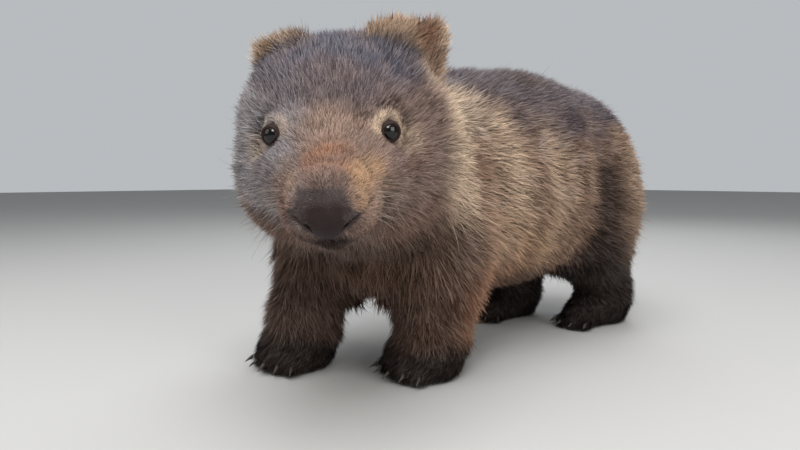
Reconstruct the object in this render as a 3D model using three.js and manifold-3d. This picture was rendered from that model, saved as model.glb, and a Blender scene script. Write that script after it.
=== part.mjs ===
// A young bare-nosed wombat as a still, life-size model, standing with its head turned to its left.
// Millimetres. X points to the animal's left, Y to its tail, Z up, and the ground is Z = 0.
// While the animal is shaped, the origin lies on the ground midway between its forefeet. At the end the whole
// animal is shifted, so that the finished group's origin lies on the ground under the middle of its box.
import * as THREE from "three";
import { mergeVertices } from "three/addons/utils/BufferGeometryUtils.js";
import Module from "manifold-3d";

const wasm = await Module();
wasm.setup();

// Driving dimensions, all taken over the coat
const BACK_HEIGHT = 305; // ground to the top of the back
const BELLY_HEIGHT = 58; // ground to the underside of the belly
const BODY_WIDTH = 222;
const WHEELBASE = 316; // between the fore and hind pairs of feet
const STANCE = 102; // between the middles of the forefeet
const FORE_STEP = 66; // how far the right forefoot stands ahead of the left one
const HIND_STEP = 48; // the same for the hind feet
const EYE_SPACING = 86;
const EYE_HEIGHT = 213; // ground to the line between the eyes
const EYE_RADIUS = 8;
const HEAD_WIDTH = 152; // over the cheeks
const HEAD_TURN = 49; // degrees to the animal's left
const HEAD_DROP = 25; // degrees that the face looks down
const HEAD_LEAN = 2; // degrees that the head tips towards its right side
const EAR_LENGTH = 66; // with the part that is sunk in the crown
const EAR_WIDTH = { left: 80, right: 70 };
const GAP = 0.3; // left between solids that touch

const point = (x, y, z) => new THREE.Vector3(x, y, z);
const radians = THREE.MathUtils.degToRad;
const SIDES = [
  { name: "left", hand: 1 },
  { name: "right", hand: -1 },
];

// Distance fields: each is a function of a point that gives about how far outside the surface it lies, and is
// negative inside.
function egg(centre, radii) {
  return (p) => {
    const x = (p.x - centre.x) / radii.x;
    const y = (p.y - centre.y) / radii.y;
    const z = (p.z - centre.z) / radii.z;
    const reach = Math.hypot(x, y, z);
    const slope = Math.hypot(x / radii.x, y / radii.y, z / radii.z);
    return slope < 1e-9 ? -Math.min(radii.x, radii.y, radii.z) : (reach * (reach - 1)) / slope;
  };
}

// A round bar that tapers from one radius to another.
function bar(from, to, radiusFrom, radiusTo = radiusFrom) {
  const run = to.clone().sub(from);
  const square = run.lengthSq();
  const step = point(0, 0, 0);
  return (p) => {
    step.subVectors(p, from);
    const share = THREE.MathUtils.clamp(step.dot(run) / square, 0, 1);
    return step.addScaledVector(run, -share).length() - THREE.MathUtils.lerp(radiusFrom, radiusTo, share);
  };
}

// Joins fields with a fillet about as wide as `soft`.
function blend(soft, ...fields) {
  return (p) => {
    let joined = fields[0](p);
    for (const field of fields.slice(1)) {
      const next = field(p);
      const share = THREE.MathUtils.clamp(0.5 + (0.5 * (next - joined)) / soft, 0, 1);
      joined = THREE.MathUtils.lerp(next, joined, share) - soft * share * (1 - share);
    }
    return joined;
  };
}

// The same field seen through a frame: `toLocal` takes a point of the asker's frame into the field's own.
function seenThrough(toLocal, field) {
  const local = point(0, 0, 0);
  return (p) => field(local.copy(p).applyMatrix4(toLocal));
}

// Ends a field at a plane: what lies further along `normal` than the plane's point is outside.
function endedAt(field, place, normal) {
  const step = point(0, 0, 0);
  return (p) => Math.max(field(p), step.subVectors(p, place).dot(normal));
}

// Where a ray from inside first leaves a field's surface, raised by `lift`.
const RAY_LIMIT = 420;
const SHORTEST_STEP = 0.6;
function leaves(field, origin, direction, lift = 0) {
  const at = (reach) => origin.clone().addScaledVector(direction, reach);
  let near = 0;
  let far = 0;
  while (far < RAY_LIMIT) {
    const depth = lift - field(at(far));
    if (depth <= 0) break;
    near = far;
    far += Math.max(SHORTEST_STEP, 0.7 * depth);
  }
  for (let halving = 0; halving < 16; halving += 1) {
    const middle = (near + far) / 2;
    if (field(at(middle)) < lift) near = middle;
    else far = middle;
  }
  return at((near + far) / 2);
}

// Pulls a ball onto a field's surface. Its rays leave a core line square to it, and fan out over the line's ends.
function wrap(field, { from, to, up = point(0, 0, 1), spokes, rings, fan = 0.28, lift = 0 }) {
  const axis = to.clone().sub(from).normalize();
  const side = axis.clone().cross(up).normalize();
  const crown = side.clone().cross(axis);
  const ball = new THREE.SphereGeometry(1, spokes, rings);
  const place = ball.getAttribute("position");
  const uv = ball.getAttribute("uv");
  for (let i = 0; i < place.count; i += 1) {
    const turn = 2 * Math.PI * uv.getX(i);
    const along = 1 - uv.getY(i);
    const overStart = Math.min(0, along / fan - 1);
    const overEnd = Math.max(0, (along - 1) / fan + 1);
    const lean = (Math.PI / 2) * (overStart + overEnd);
    const share = THREE.MathUtils.clamp((along - fan) / (1 - 2 * fan), 0, 1);
    const direction = axis
      .clone()
      .multiplyScalar(Math.sin(lean))
      .addScaledVector(side, Math.cos(lean) * Math.cos(turn))
      .addScaledVector(crown, Math.cos(lean) * Math.sin(turn));
    const hit = leaves(field, from.clone().lerp(to, share), direction, lift);
    place.setXYZ(i, hit.x, hit.y, hit.z);
  }
  return ball;
}

// Between three.js geometry and manifold solids
function solid(geometry) {
  const bare = geometry.clone();
  bare.deleteAttribute("normal");
  bare.deleteAttribute("uv");
  const merged = mergeVertices(bare, 1e-4);
  const corners = merged.index.array;
  const kept = [];
  for (let i = 0; i < corners.length; i += 3) {
    const [a, b, c] = corners.slice(i, i + 3);
    if (a !== b && b !== c && c !== a) kept.push(a, b, c);
  }
  const mesh = new wasm.Mesh({
    numProp: 3,
    vertProperties: new Float32Array(merged.getAttribute("position").array),
    triVerts: new Uint32Array(kept),
  });
  return new wasm.Manifold(mesh);
}

function largest(shape) {
  return shape.decompose().reduce((best, next) => (next.volume() > best.volume() ? next : best));
}

function geometryOf(shape) {
  const mesh = shape.getMesh();
  return new THREE.BufferGeometry()
    .setAttribute("position", new THREE.BufferAttribute(new Float32Array(mesh.vertProperties), 3))
    .setIndex(new THREE.BufferAttribute(new Uint32Array(mesh.triVerts), 1));
}

// A box from its lowest and highest corners, as a solid.
function block(low, high, frame = new THREE.Matrix4()) {
  const size = high.clone().sub(low);
  const box = new THREE.BoxGeometry(size.x, size.y, size.z);
  const middle = low.clone().add(high).multiplyScalar(0.5);
  return solid(box.translate(middle.x, middle.y, middle.z).applyMatrix4(frame));
}

// A round-ended bar between two points, as a solid, for cutting and for toes.
function pill(from, to, radius, { sides = 12, caps = 4 } = {}) {
  const run = to.clone().sub(from);
  const shape = new THREE.CapsuleGeometry(radius, run.length(), caps, sides);
  const turn = new THREE.Quaternion().setFromUnitVectors(point(0, 1, 0), run.clone().normalize());
  const middle = from.clone().lerp(to, 0.5);
  return solid(shape.applyQuaternion(turn).translate(middle.x, middle.y, middle.z));
}

// Finishes
function finish(colour, roughness) {
  return new THREE.MeshStandardMaterial({ color: colour, roughness, metalness: 0 });
}
const COAT = finish("#7d6a58", 0.9);
const FACE_COAT = finish("#80705f", 0.9);
const PAW_COAT = finish("#3c302b", 0.9);
const EAR_COAT = finish("#a1835f", 0.9);
const NOSE_SKIN = finish("#352b2b", 0.6);
const EYE_BALL = finish("#0d0b0d", 0.08);
const HORN = finish("#4a3f38", 0.5);

// Places of the trunk and the feet
const SHOULDER_Y = 22;
const HIP_Y = WHEELBASE + 4;
const BACK_MIDDLE = (BACK_HEIGHT + BELLY_HEIGHT) / 2;
const HALF_DEPTH = (BACK_HEIGHT - BELLY_HEIGHT) / 2;
const HALF_WIDTH = BODY_WIDTH / 2;

const FORE_FEET = {
  left: point(STANCE / 2 + 5, FORE_STEP / 2 + 6, 0),
  right: point(-STANCE / 2 + 4, -FORE_STEP / 2 + 4, 0),
};
const HIND_FEET = {
  left: point(56, WHEELBASE + HIND_STEP / 2, 0),
  right: point(-44, WHEELBASE - HIND_STEP / 2, 0),
};

// The trunk: overlapping masses of ribs, belly and rump
const trunkMasses = [
  egg(point(-16, 4, 140), point(76, 48, 62)),
  egg(point(0, 42, 168), point(HALF_WIDTH - 26, 92, HALF_DEPTH - 20)),
  egg(point(0, 140, BACK_MIDDLE - 4), point(HALF_WIDTH - 11, 122, HALF_DEPTH - 6)),
  egg(point(0, 205, BACK_MIDDLE - 9), point(HALF_WIDTH - 2, 122, HALF_DEPTH - 7)),
  egg(point(0, 235, BACK_MIDDLE + 14), point(HALF_WIDTH - 16, 118, HALF_DEPTH - 16)),
  egg(point(0, HIP_Y, BACK_MIDDLE - 2), point(HALF_WIDTH - 13, 112, HALF_DEPTH - 10)),
];

// The limbs: the upper masses lie in the trunk's outline, the lower ones stand clear of it
function foreLimb({ name, hand }) {
  const foot = FORE_FEET[name];
  const shoulder = point(hand * 50, SHOULDER_Y + hand * 12, 172);
  const elbow = point(hand * 62, SHOULDER_Y + 5 + hand * 17, 116);
  const wrist = point(foot.x + hand * 1, foot.y + 6, 46);
  const palm = point(foot.x, foot.y, 20);
  return {
    upper: [bar(shoulder, elbow, 48, 44)],
    lower: [
      bar(elbow, wrist, 44, 36),
      egg(point(hand * 68, elbow.y + 17, 86), point(34, 31, 40)),
      bar(wrist, palm, 36, 32),
      egg(point(foot.x, foot.y - 6, 15), point(33, 37, 21)),
    ],
    core: { from: point(hand * 62, SHOULDER_Y + 6, 132), to: point(foot.x, foot.y - 4, 22) },
  };
}

function hindLimb({ name, hand }) {
  const foot = HIND_FEET[name];
  const hip = point(hand * 56, HIP_Y - 2, 142);
  const knee = point(hand * 62, (HIP_Y + foot.y) / 2 - 26, 104);
  const hock = point(foot.x, foot.y + 16, 46);
  const heel = point(foot.x, foot.y + 16, 20);
  const ball = point(foot.x - hand * 3, foot.y - 34, 14);
  return {
    upper: [egg(hip, point(47, 76, 84)), bar(hip, knee, 50, 43)],
    lower: [bar(knee, hock, 43, 33), bar(hock, heel, 33, 27), bar(heel, ball, 27, 23)],
    core: { from: point(hand * 60, HIP_Y - 6, 128), to: point(foot.x, foot.y - 2, 20) },
  };
}

const foreLimbs = Object.fromEntries(SIDES.map((side) => [side.name, foreLimb(side)]));
const hindLimbs = Object.fromEntries(SIDES.map((side) => [side.name, hindLimb(side)]));
const limbs = [...Object.values(foreLimbs), ...Object.values(hindLimbs)];

// The head's own frame: its origin is midway between the eyes, its face looks along -Y
const HEAD_PLACE = point(100, -99, EYE_HEIGHT);
const headFrame = new THREE.Matrix4().compose(
  HEAD_PLACE,
  new THREE.Quaternion().setFromEuler(
    new THREE.Euler(radians(HEAD_DROP), radians(-HEAD_LEAN), radians(HEAD_TURN), "ZXY"),
  ),
  point(1, 1, 1),
);
const intoHead = headFrame.clone().invert();
const CHEEK = HEAD_WIDTH / 2;

const headMasses = [
  egg(point(0, 58, -8), point(CHEEK - 3, 74, 50)),
  egg(point(5, 80, 10), point(64, 48, 33)),
  egg(point(CHEEK - 26, 66, -34), point(40, 38, 50)),
  ...SIDES.map(({ hand }) => egg(point(hand * (CHEEK - 39), 40, -50), point(39, 54, 50))),
  ...SIDES.map(({ hand }) => egg(point(hand * 28, 10, 6), point(18, 24, 14))),
  ...SIDES.map(({ hand }) => egg(point(hand * 24, -6, -30), point(30, 42, 28))),
  bar(point(0, 10, -22), point(0, -50, -27), 38, 29),
  ...SIDES.map(({ hand }) => egg(point(hand * 14, -54, -33), point(18, 26, 16))),
  bar(point(0, 30, -52), point(0, -44, -56), 32, 15),
];
const head = blend(14, ...headMasses);
const neck = bar(point(2, 30, 186), point(40, -36, 190), 86, 70);

const trunk = blend(24, ...trunkMasses, ...limbs.flatMap((limb) => limb.upper));
const bodyField = blend(
  20,
  blend(26, trunk, neck, seenThrough(intoHead, head)),
  ...limbs.map((limb) => blend(14, ...limb.lower)),
);
// The same without the lower legs, which a ray from the trunk's core would follow down to the feet
const trunkField = endedAt(bodyField, point(0, 0, BELLY_HEIGHT - 1), point(0, 0, -1));
const headField = seenThrough(headFrame, bodyField);

// Cuts between the nodes. A sleeve round each limb takes its share of the shoulder or the thigh with it.
const SLEEVES = {
  fore: ({ name, hand }) => {
    const foot = FORE_FEET[name];
    return [point(hand * 76, SHOULDER_Y + 8, 124), point(foot.x + hand * 12, foot.y - 6, -30), 60];
  },
  hind: ({ name, hand }) => {
    const foot = HIND_FEET[name];
    return [point(hand * 88, HIP_Y - 10, 134), point(foot.x + hand * 14, foot.y - 8, -30), 72];
  },
};
function sleeve(kind, side, grow = 0) {
  const [top, bottom, radius] = SLEEVES[kind](side);
  return pill(top, bottom, radius + grow, { sides: 24, caps: 8 });
}

// A plane across the animal, given by a point on it and the way its front looks
const FAR = 900;
function plane(place, turn, drop) {
  const frame = new THREE.Matrix4().compose(
    place,
    new THREE.Quaternion().setFromEuler(new THREE.Euler(radians(drop), 0, radians(turn), "ZXY")),
    point(1, 1, 1),
  );
  const front = point(0, -1, 0).transformDirection(frame);
  return {
    frame,
    front,
    place,
    ahead: (slack = 0) => block(point(-FAR, -FAR, -FAR), point(FAR, -slack, FAR), frame),
    behind: (slack = 0) => block(point(-FAR, slack, -FAR), point(FAR, FAR, FAR), frame),
  };
}
const shoulderCut = plane(point(0, 14, 190), 16, 0);
const napeCut = plane(point(27, -34, 230), 40, -8);

// The field ended a little past a cut, so that a wrapped ball stops there too.
const SPARE = 30;
function endedPast(field, cut, sign) {
  const place = cut.place.clone().addScaledVector(cut.front, sign * SPARE);
  return endedAt(field, place, cut.front.clone().multiplyScalar(sign));
}

const WRIST_HEIGHT = 36;
const ANKLE_HEIGHT = 36;
const aboveGround = block(point(-FAR, -FAR, 0), point(FAR, FAR, FAR));

// The animal's nodes, each set about an anchor of its own
const animal = new THREE.Group();
function addNode(name, shape, material, anchor, group = animal) {
  const geometry = geometryOf(largest(shape)).translate(-anchor.x, -anchor.y, -anchor.z);
  const mesh = new THREE.Mesh(geometry, material);
  mesh.name = name;
  mesh.position.copy(anchor);
  group.add(mesh);
  return mesh;
}

function makeTorso() {
  const field = endedPast(trunkField, shoulderCut, 1);
  const core = { from: point(0, 66, 176), to: point(0, HIP_Y, BACK_MIDDLE), spokes: 30, rings: 25 };
  let shape = solid(wrap(field, core)).intersect(shoulderCut.behind());
  for (const side of SIDES) {
    shape = shape.subtract(sleeve("fore", side, GAP)).subtract(sleeve("hind", side, GAP));
  }
  shape = largest(shape).subtract(tailShape(GAP));
  addNode("torso", shape, COAT, point(0, 180, BACK_MIDDLE));
}

function makeNeck() {
  const field = endedPast(endedPast(trunkField, shoulderCut, -1), napeCut, 1);
  const core = { from: point(6, -2, 186), to: point(22, -26, 200), spokes: 40, rings: 16, fan: 0.4 };
  let shape = solid(wrap(field, core)).intersect(shoulderCut.ahead(GAP)).intersect(napeCut.behind());
  for (const side of SIDES) shape = shape.subtract(sleeve("fore", side, GAP));
  addNode("neck", shape, COAT, point(20, -26, 190));
}

// A stub of a tail, almost lost in the coat of the rump
const TAIL_PLACE = point(0, HIP_Y + 108, 196);
function tailShape(grow = 0) {
  const field = bar(TAIL_PLACE, TAIL_PLACE.clone().add(point(0, 9, -10)), 13, 9);
  const core = { from: TAIL_PLACE, to: TAIL_PLACE.clone().add(point(0, 6, -7)), up: point(1, 0, 0) };
  return solid(wrap(field, { ...core, spokes: 14, rings: 10, lift: grow }));
}

// The head, in its own frame
const headGroup = new THREE.Group();
headGroup.name = "head_group";
headFrame.decompose(headGroup.position, headGroup.quaternion, headGroup.scale);
animal.add(headGroup);

const headCore = { from: point(0, 52, 0), to: point(0, -34, -28), fan: 0.34, spokes: 40, rings: 30 };
function headSkin(lift = 0) {
  const cut = {
    place: napeCut.place.clone().applyMatrix4(intoHead),
    front: napeCut.front.clone().transformDirection(intoHead),
  };
  return solid(wrap(endedPast(headField, cut, -1), { ...headCore, lift }));
}

// Each eye: a ball that looks out and forwards, set into the surface where its own ray leaves the head.
const EYE_LOOK = point(0.74, -0.6, 0.24).normalize();
const EYE_DEPTH = 5.5;
function eyeOf({ hand }) {
  const look = EYE_LOOK.clone().multiply(point(hand, 1, 1));
  const surface = leaves(headField, point(hand * (EYE_SPACING / 2), 40, 0), point(0, -1, 0));
  return { look, centre: surface.addScaledVector(look, -EYE_DEPTH) };
}

function ballAt(centre, radius, spokes, rings) {
  return solid(new THREE.SphereGeometry(radius, spokes, rings).translate(centre.x, centre.y, centre.z));
}

// The rim of the lids: a ring of skin round the ball, wider than high.
function lidRing({ look, centre }) {
  const ring = new THREE.TorusGeometry(EYE_RADIUS - 1, 2.1, 6, 16);
  ring.scale(1.04, 0.9, 1);
  const turn = new THREE.Matrix4().lookAt(look, point(0, 0, 0), point(0, 0, 1));
  const place = centre.clone().addScaledVector(look, EYE_RADIUS * 0.45);
  return solid(ring.applyMatrix4(turn).translate(place.x, place.y, place.z));
}

// Each ear: a broad, blunt flap whose upper edge slopes down to the outer tip. A hollow near that tip looks out
// and forwards. The head is turned, so the left ear stands out further than the right one.
const EARS = {
  left: { root: point(52, 74, 27), slope: 8 },
  right: { root: point(-33, 74, 19), slope: 17 },
};
const EAR_LOOK = point(0.36, -0.92, 0.12);
const EAR_THICKNESS = 17;
const SQUARENESS = 3.2; // 2 is an oval, and higher values have fuller corners
function earOf({ name, hand }) {
  const { root, slope } = EARS[name];
  const open = EAR_LOOK.clone().multiply(point(hand, 1, 1)).normalize();
  const level = point(0, 0, 1).cross(open).multiplyScalar(hand).normalize();
  const upright = level.clone().cross(open).multiplyScalar(-hand);
  const across = level.applyAxisAngle(open, radians(-hand * slope));
  const rise = upright.applyAxisAngle(open, radians(-hand * slope));
  return { hand, root, open, across, rise, halfWidth: EAR_WIDTH[name] / 2 };
}

// A ball stretched along an ear's own directions, seen from the front as an oval with full corners.
function earBall({ hand, root, open, across, rise }, { out, up, forward, wide, high, thick, spokes, rings }) {
  const ball = new THREE.SphereGeometry(1, spokes, rings);
  const place = ball.getAttribute("position");
  const middle = root
    .clone()
    .addScaledVector(across, out)
    .addScaledVector(rise, up)
    .addScaledVector(open, forward);
  for (let i = 0; i < place.count; i += 1) {
    const [x, y] = [place.getX(i), place.getY(i)];
    const corner = (Math.abs(x) ** SQUARENESS + Math.abs(y) ** SQUARENESS) ** (1 / SQUARENESS);
    const fuller = corner > 0 ? Math.hypot(x, y) / corner : 1;
    const spot = middle
      .clone()
      .addScaledVector(across, wide * fuller * x * hand)
      .addScaledVector(rise, high * fuller * y)
      .addScaledVector(open, thick * place.getZ(i));
    place.setXYZ(i, spot.x, spot.y, spot.z);
  }
  return solid(ball);
}

function makeHead() {
  const eyes = SIDES.map(eyeOf);
  const ears = SIDES.map(earOf);
  const grown = headSkin(GAP);
  let shape = headSkin();
  for (const eye of eyes) shape = shape.add(lidRing(eye));
  for (const eye of eyes) shape = shape.subtract(ballAt(eye.centre, EYE_RADIUS + GAP, 14, 8));
  const nose = solid(wrap(noseField, noseCore)).subtract(nostril(SIDES[0])).subtract(nostril(SIDES[1]));
  const noseGrown = solid(wrap(noseField, { ...noseCore, lift: GAP }));
  const slits = SIDES.map(nostril);
  for (const cut of [noseGrown, ...slits, ...mouthCuts()]) shape = shape.subtract(cut);
  shape = shape.intersect(napeAhead());
  addNode("head", shape, FACE_COAT, point(0, 40, -20), headGroup);
  addNode("nose", nose, NOSE_SKIN, point(0, -66, -12), headGroup);
  SIDES.forEach(({ name }, index) => {
    const eye = eyes[index];
    addNode(`eye_${name}`, ballAt(eye.centre, EYE_RADIUS, 14, 8), EYE_BALL, eye.centre, headGroup);
    const { halfWidth } = ears[index];
    const outer = { out: 0, up: 0, forward: 0, wide: halfWidth, high: EAR_LENGTH / 2, thick: EAR_THICKNESS / 2 };
    const hollow = { out: halfWidth * 0.4, up: 9, forward: 10, wide: halfWidth * 0.42, high: 19, thick: 10.5 };
    const flap = earBall(ears[index], { ...outer, spokes: 18, rings: 14 });
    const cup = earBall(ears[index], { ...hollow, spokes: 14, rings: 10 });
    const ear = flap.subtract(cup).subtract(grown);
    addNode(`ear_${name}`, ear, EAR_COAT, ears[index].root, headGroup);
  });
}

// The nose: a bare pad, broad over the nostrils and narrow at the lip
const noseField = blend(
  9,
  egg(point(0, -66, -9), point(14, 13, 10)),
  ...SIDES.map(({ hand }) => egg(point(hand * 13, -72, -20), point(11, 12, 9))),
  ...SIDES.map(({ hand }) => egg(point(hand * 7, -74, -29), point(9, 9, 10))),
  egg(point(0, -75, -28), point(9, 9, 13)),
);
const noseCore = { from: point(0, -68, -9), to: point(0, -74, -28), up: point(0, 1, 0), fan: 0.36, spokes: 20, rings: 13 };

// A nostril: a slit that curves round the lower edge of a wing, cut into the pad and the lip below it.
const NOSTRIL_RAYS = [point(0.86, -0.52, 0.16), point(0.62, -0.78, -0.14), point(0, -0.88, -0.44)];
const NOSTRIL_RADIUS = 1.9;
function nostril({ hand }) {
  const inside = point(hand * 12, -70, -23);
  const line = NOSTRIL_RAYS.map((ray) => {
    const out = ray.clone().multiply(point(hand, 1, 1)).normalize();
    return leaves(noseField, inside, out);
  });
  const [outer, inner] = [0, 1].map((i) => pill(line[i], line[i + 1], NOSTRIL_RADIUS, { sides: 6, caps: 2 }));
  return outer.add(inner);
}

// The line of the mouth runs round the front of the muzzle, and parts at the middle.
const MOUTH_REACH = 104; // degrees to each side
const MOUTH_STEPS = 10;
const MOUTH_DEPTH = 1.4;
function mouthCuts() {
  const inside = point(0, -40, -47);
  const stations = Array.from({ length: MOUTH_STEPS + 1 }, (_, index) => {
    const turn = radians(MOUTH_REACH * ((2 * index) / MOUTH_STEPS - 1));
    const out = point(Math.sin(turn), -Math.cos(turn), -0.3).normalize();
    return leaves(headField, inside, out);
  });
  const line = stations.slice(1).map((to, index) => pill(stations[index], to, MOUTH_DEPTH, { sides: 6, caps: 1 }));
  const parting = solid(wrap(egg(stations[MOUTH_STEPS / 2], point(6, 6, 3)), {
    from: stations[MOUTH_STEPS / 2],
    to: stations[MOUTH_STEPS / 2].clone().add(point(1, 0, 0)),
    spokes: 10,
    rings: 8,
  }));
  return line.concat(parting);
}

function napeAhead() {
  const frame = new THREE.Matrix4().multiplyMatrices(intoHead, napeCut.frame);
  return block(point(-FAR, -FAR, -FAR), point(FAR, -GAP, FAR), frame);
}

function makeLimb(kind, side, limb, cutHeight, spokes, rings) {
  const skin = solid(wrap(bodyField, { ...limb.core, up: point(0, 1, 0), spokes, rings })).intersect(sleeve(kind, side));
  const upper = block(point(-FAR, -FAR, cutHeight + GAP), point(FAR, FAR, FAR));
  const foot = (kind === "fore" ? FORE_FEET : HIND_FEET)[side.name];
  const shape = skin.intersect(upper).intersect(napeCut.behind());
  addNode(`${kind}leg_${side.name}`, shape, COAT, point(foot.x, foot.y, cutHeight));
}

// Feet, with their toes and claws. A foot's own direction turns a little inwards.
const TOES = {
  fore: { count: 5, spread: 68, reach: 23, radius: 9.5, height: 9.5, width: 23, claw: 13, turnIn: 8 },
  hind: { count: 4, spread: 56, reach: 24, radius: 8.5, height: 8.5, width: 15, claw: 11, turnIn: 10 },
};
const CLAW_ROOT = 3.6;
const CLAW_LIFT = 1.2; // clearance between the claws and the ground

function toePlaces(kind, side, foot) {
  const { count, spread, reach, width, height, turnIn } = TOES[kind];
  const ahead = kind === "fore" ? -10 : -32;
  return Array.from({ length: count }, (_, index) => {
    const share = index / (count - 1) - 0.5;
    const heading = radians(share * spread - side.hand * turnIn);
    const out = point(Math.sin(heading), -Math.cos(heading), 0);
    const root = point(foot.x + share * width * 1.2, foot.y + ahead, height + 3);
    const shorter = 1 - 0.35 * Math.abs(share);
    return { out, root, tip: root.clone().addScaledVector(out, reach * shorter).setZ(height) };
  });
}

// A claw: a tapering, downward-bent cone.
function claw(tip, out, length) {
  const sides = 7;
  const steps = 4;
  const cone = new THREE.ConeGeometry(1, 1, sides, steps);
  const place = cone.getAttribute("position");
  const across = point(out.y, -out.x, 0);
  const rootHeight = tip.z - CLAW_ROOT - CLAW_LIFT + 1.6;
  for (let i = 0; i < place.count; i += 1) {
    const along = place.getY(i) + 0.5;
    const bentDown = rootHeight * along * along;
    const spot = tip
      .clone()
      .addScaledVector(out, length * along - 4)
      .addScaledVector(across, CLAW_ROOT * 0.72 * place.getX(i))
      .add(point(0, 0, CLAW_ROOT * place.getZ(i) - bentDown + 1));
    place.setXYZ(i, spot.x, spot.y, spot.z);
  }
  return solid(cone);
}

function makeFoot(kind, side, limb, cutHeight, spokes, rings) {
  const foot = (kind === "fore" ? FORE_FEET : HIND_FEET)[side.name];
  const { radius, claw: clawLength } = TOES[kind];
  const lower = block(point(-FAR, -FAR, 0), point(FAR, FAR, cutHeight));
  let shape = solid(wrap(bodyField, { ...limb.core, up: point(0, 1, 0), spokes, rings })).intersect(sleeve(kind, side));
  shape = shape.intersect(lower);
  const toes = toePlaces(kind, side, foot);
  for (const { root, tip } of toes) {
    shape = shape.add(pill(root, tip, radius, { sides: 9, caps: 3 }).intersect(lower));
  }
  shape = largest(shape);
  addNode(`${kind}foot_${side.name}`, shape, PAW_COAT, point(foot.x, foot.y, 0));
  toes.forEach(({ tip, out }, index) => {
    const clear = pill(tip.clone().addScaledVector(out, -8), tip, radius + GAP, { sides: 9, caps: 3 });
    const horn = largest(claw(tip.clone().addScaledVector(out, radius), out, clawLength).subtract(clear).subtract(shape));
    addNode(`claw_${kind}_${side.name}_${index + 1}`, horn, HORN, tip);
  });
}

makeTorso();
makeNeck();
makeHead();
addNode("tail", tailShape(), COAT, TAIL_PLACE);
for (const side of SIDES) {
  makeLimb("fore", side, foreLimbs[side.name], WRIST_HEIGHT, 22, 18);
  makeLimb("hind", side, hindLimbs[side.name], ANKLE_HEIGHT, 22, 18);
  makeFoot("fore", side, foreLimbs[side.name], WRIST_HEIGHT, 22, 18);
  makeFoot("hind", side, hindLimbs[side.name], ANKLE_HEIGHT, 22, 18);
}

// The finished frame has its origin on the ground, under the middle of the animal's box.
const extent = new THREE.Box3().setFromObject(animal, true);
const middle = extent.getCenter(point(0, 0, 0));
animal.position.set(-middle.x, -middle.y, -extent.min.z);

export default animal;
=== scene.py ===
# %% [markdown]
# A young wombat, life size, as a still model.
# The CAD solids reach out to the tips of the coat. This script puts one skin inside them, and covers it with
# several hundred thousand small tufts. Eyes, lids, nose, claws and whiskers are pieces of their own.
# All lengths are in metres. X points to the animal's left, Y to its tail, and Z up.

# %% Load the solids
import math

import bmesh
import bpy
import numpy as np
from mathutils import Matrix, Vector
from mathutils.bvhtree import BVHTree


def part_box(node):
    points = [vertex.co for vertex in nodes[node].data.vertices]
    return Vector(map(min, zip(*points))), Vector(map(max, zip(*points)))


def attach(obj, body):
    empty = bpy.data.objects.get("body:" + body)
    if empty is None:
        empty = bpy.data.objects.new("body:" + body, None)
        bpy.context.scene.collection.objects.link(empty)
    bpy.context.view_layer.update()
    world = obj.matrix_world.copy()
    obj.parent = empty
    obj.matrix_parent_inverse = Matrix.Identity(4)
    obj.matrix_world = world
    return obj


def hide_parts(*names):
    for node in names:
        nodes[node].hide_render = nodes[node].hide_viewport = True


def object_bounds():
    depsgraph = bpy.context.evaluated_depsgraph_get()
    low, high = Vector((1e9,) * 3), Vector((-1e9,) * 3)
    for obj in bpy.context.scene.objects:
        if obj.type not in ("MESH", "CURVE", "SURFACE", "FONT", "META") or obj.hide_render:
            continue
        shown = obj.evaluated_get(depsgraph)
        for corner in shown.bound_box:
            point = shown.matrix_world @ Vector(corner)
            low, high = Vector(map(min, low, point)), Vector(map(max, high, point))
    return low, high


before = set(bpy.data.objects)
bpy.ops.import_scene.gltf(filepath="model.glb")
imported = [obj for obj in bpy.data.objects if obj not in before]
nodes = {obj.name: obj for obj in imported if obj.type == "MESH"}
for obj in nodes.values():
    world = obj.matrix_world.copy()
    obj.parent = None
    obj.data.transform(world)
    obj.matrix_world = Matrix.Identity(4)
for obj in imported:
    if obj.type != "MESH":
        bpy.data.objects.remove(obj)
cad_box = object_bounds()
FLOOR = cad_box[0].z
print("CAD nodes:", len(nodes))

# %% [markdown]
# The face has directions of its own, because the head is turned, dropped and a little tilted. Every place on
# the face is easier to name there: x to the animal's left, y to the back of its head, z to its crown. The
# origin of these directions lies between the eyes. One matrix turns such a place into the model's frame, and
# its transpose turns it back.

# %% The head's own directions
HEAD_TURN = math.radians(49)
HEAD_DROP = math.radians(25)
HEAD_LEAN = math.radians(2)
EYES_IN_HEAD = Vector((0, -0.0046, -0.0013))


def middle_of(name):
    low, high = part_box(name)
    return (low + high) / 2


turned = Matrix.Rotation(HEAD_TURN, 3, "Z")
dropped = Matrix.Rotation(HEAD_DROP, 3, "X")
leaned = Matrix.Rotation(-HEAD_LEAN, 3, "Y")
head_turn = turned @ dropped @ leaned
HEAD_MIDDLE = (middle_of("eye_left") + middle_of("eye_right")) / 2 - head_turn @ EYES_IN_HEAD
HEAD_AXES = np.array(head_turn)


def on_head(place):
    """A place on the head, given in its own directions, in the model's frame."""
    return HEAD_MIDDLE + head_turn @ Vector(place)


def seen_from_head(places):
    return (places - np.array(HEAD_MIDDLE)) @ HEAD_AXES


print("between the eyes:", [round(v, 3) for v in HEAD_MIDDLE])

# %% [markdown]
# The camera stands where the photographer held the phone: low, in front of the animal and to its left. A
# phone's main lens is close to 28 mm on a full-frame sensor, and the horizon gives the small downward pitch.
# The place follows from the four feet, which all stand on one level ground.

# %% Camera
CAMERA_FROM_HEAD = Vector((0.3465, -0.2593, -0.033))
CAMERA_PITCH = math.radians(4.4)
CAMERA_HEADING = Vector((-0.731, 0.682, 0)).normalized()
SENSOR_WIDTH = 36
LENS = 28

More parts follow.
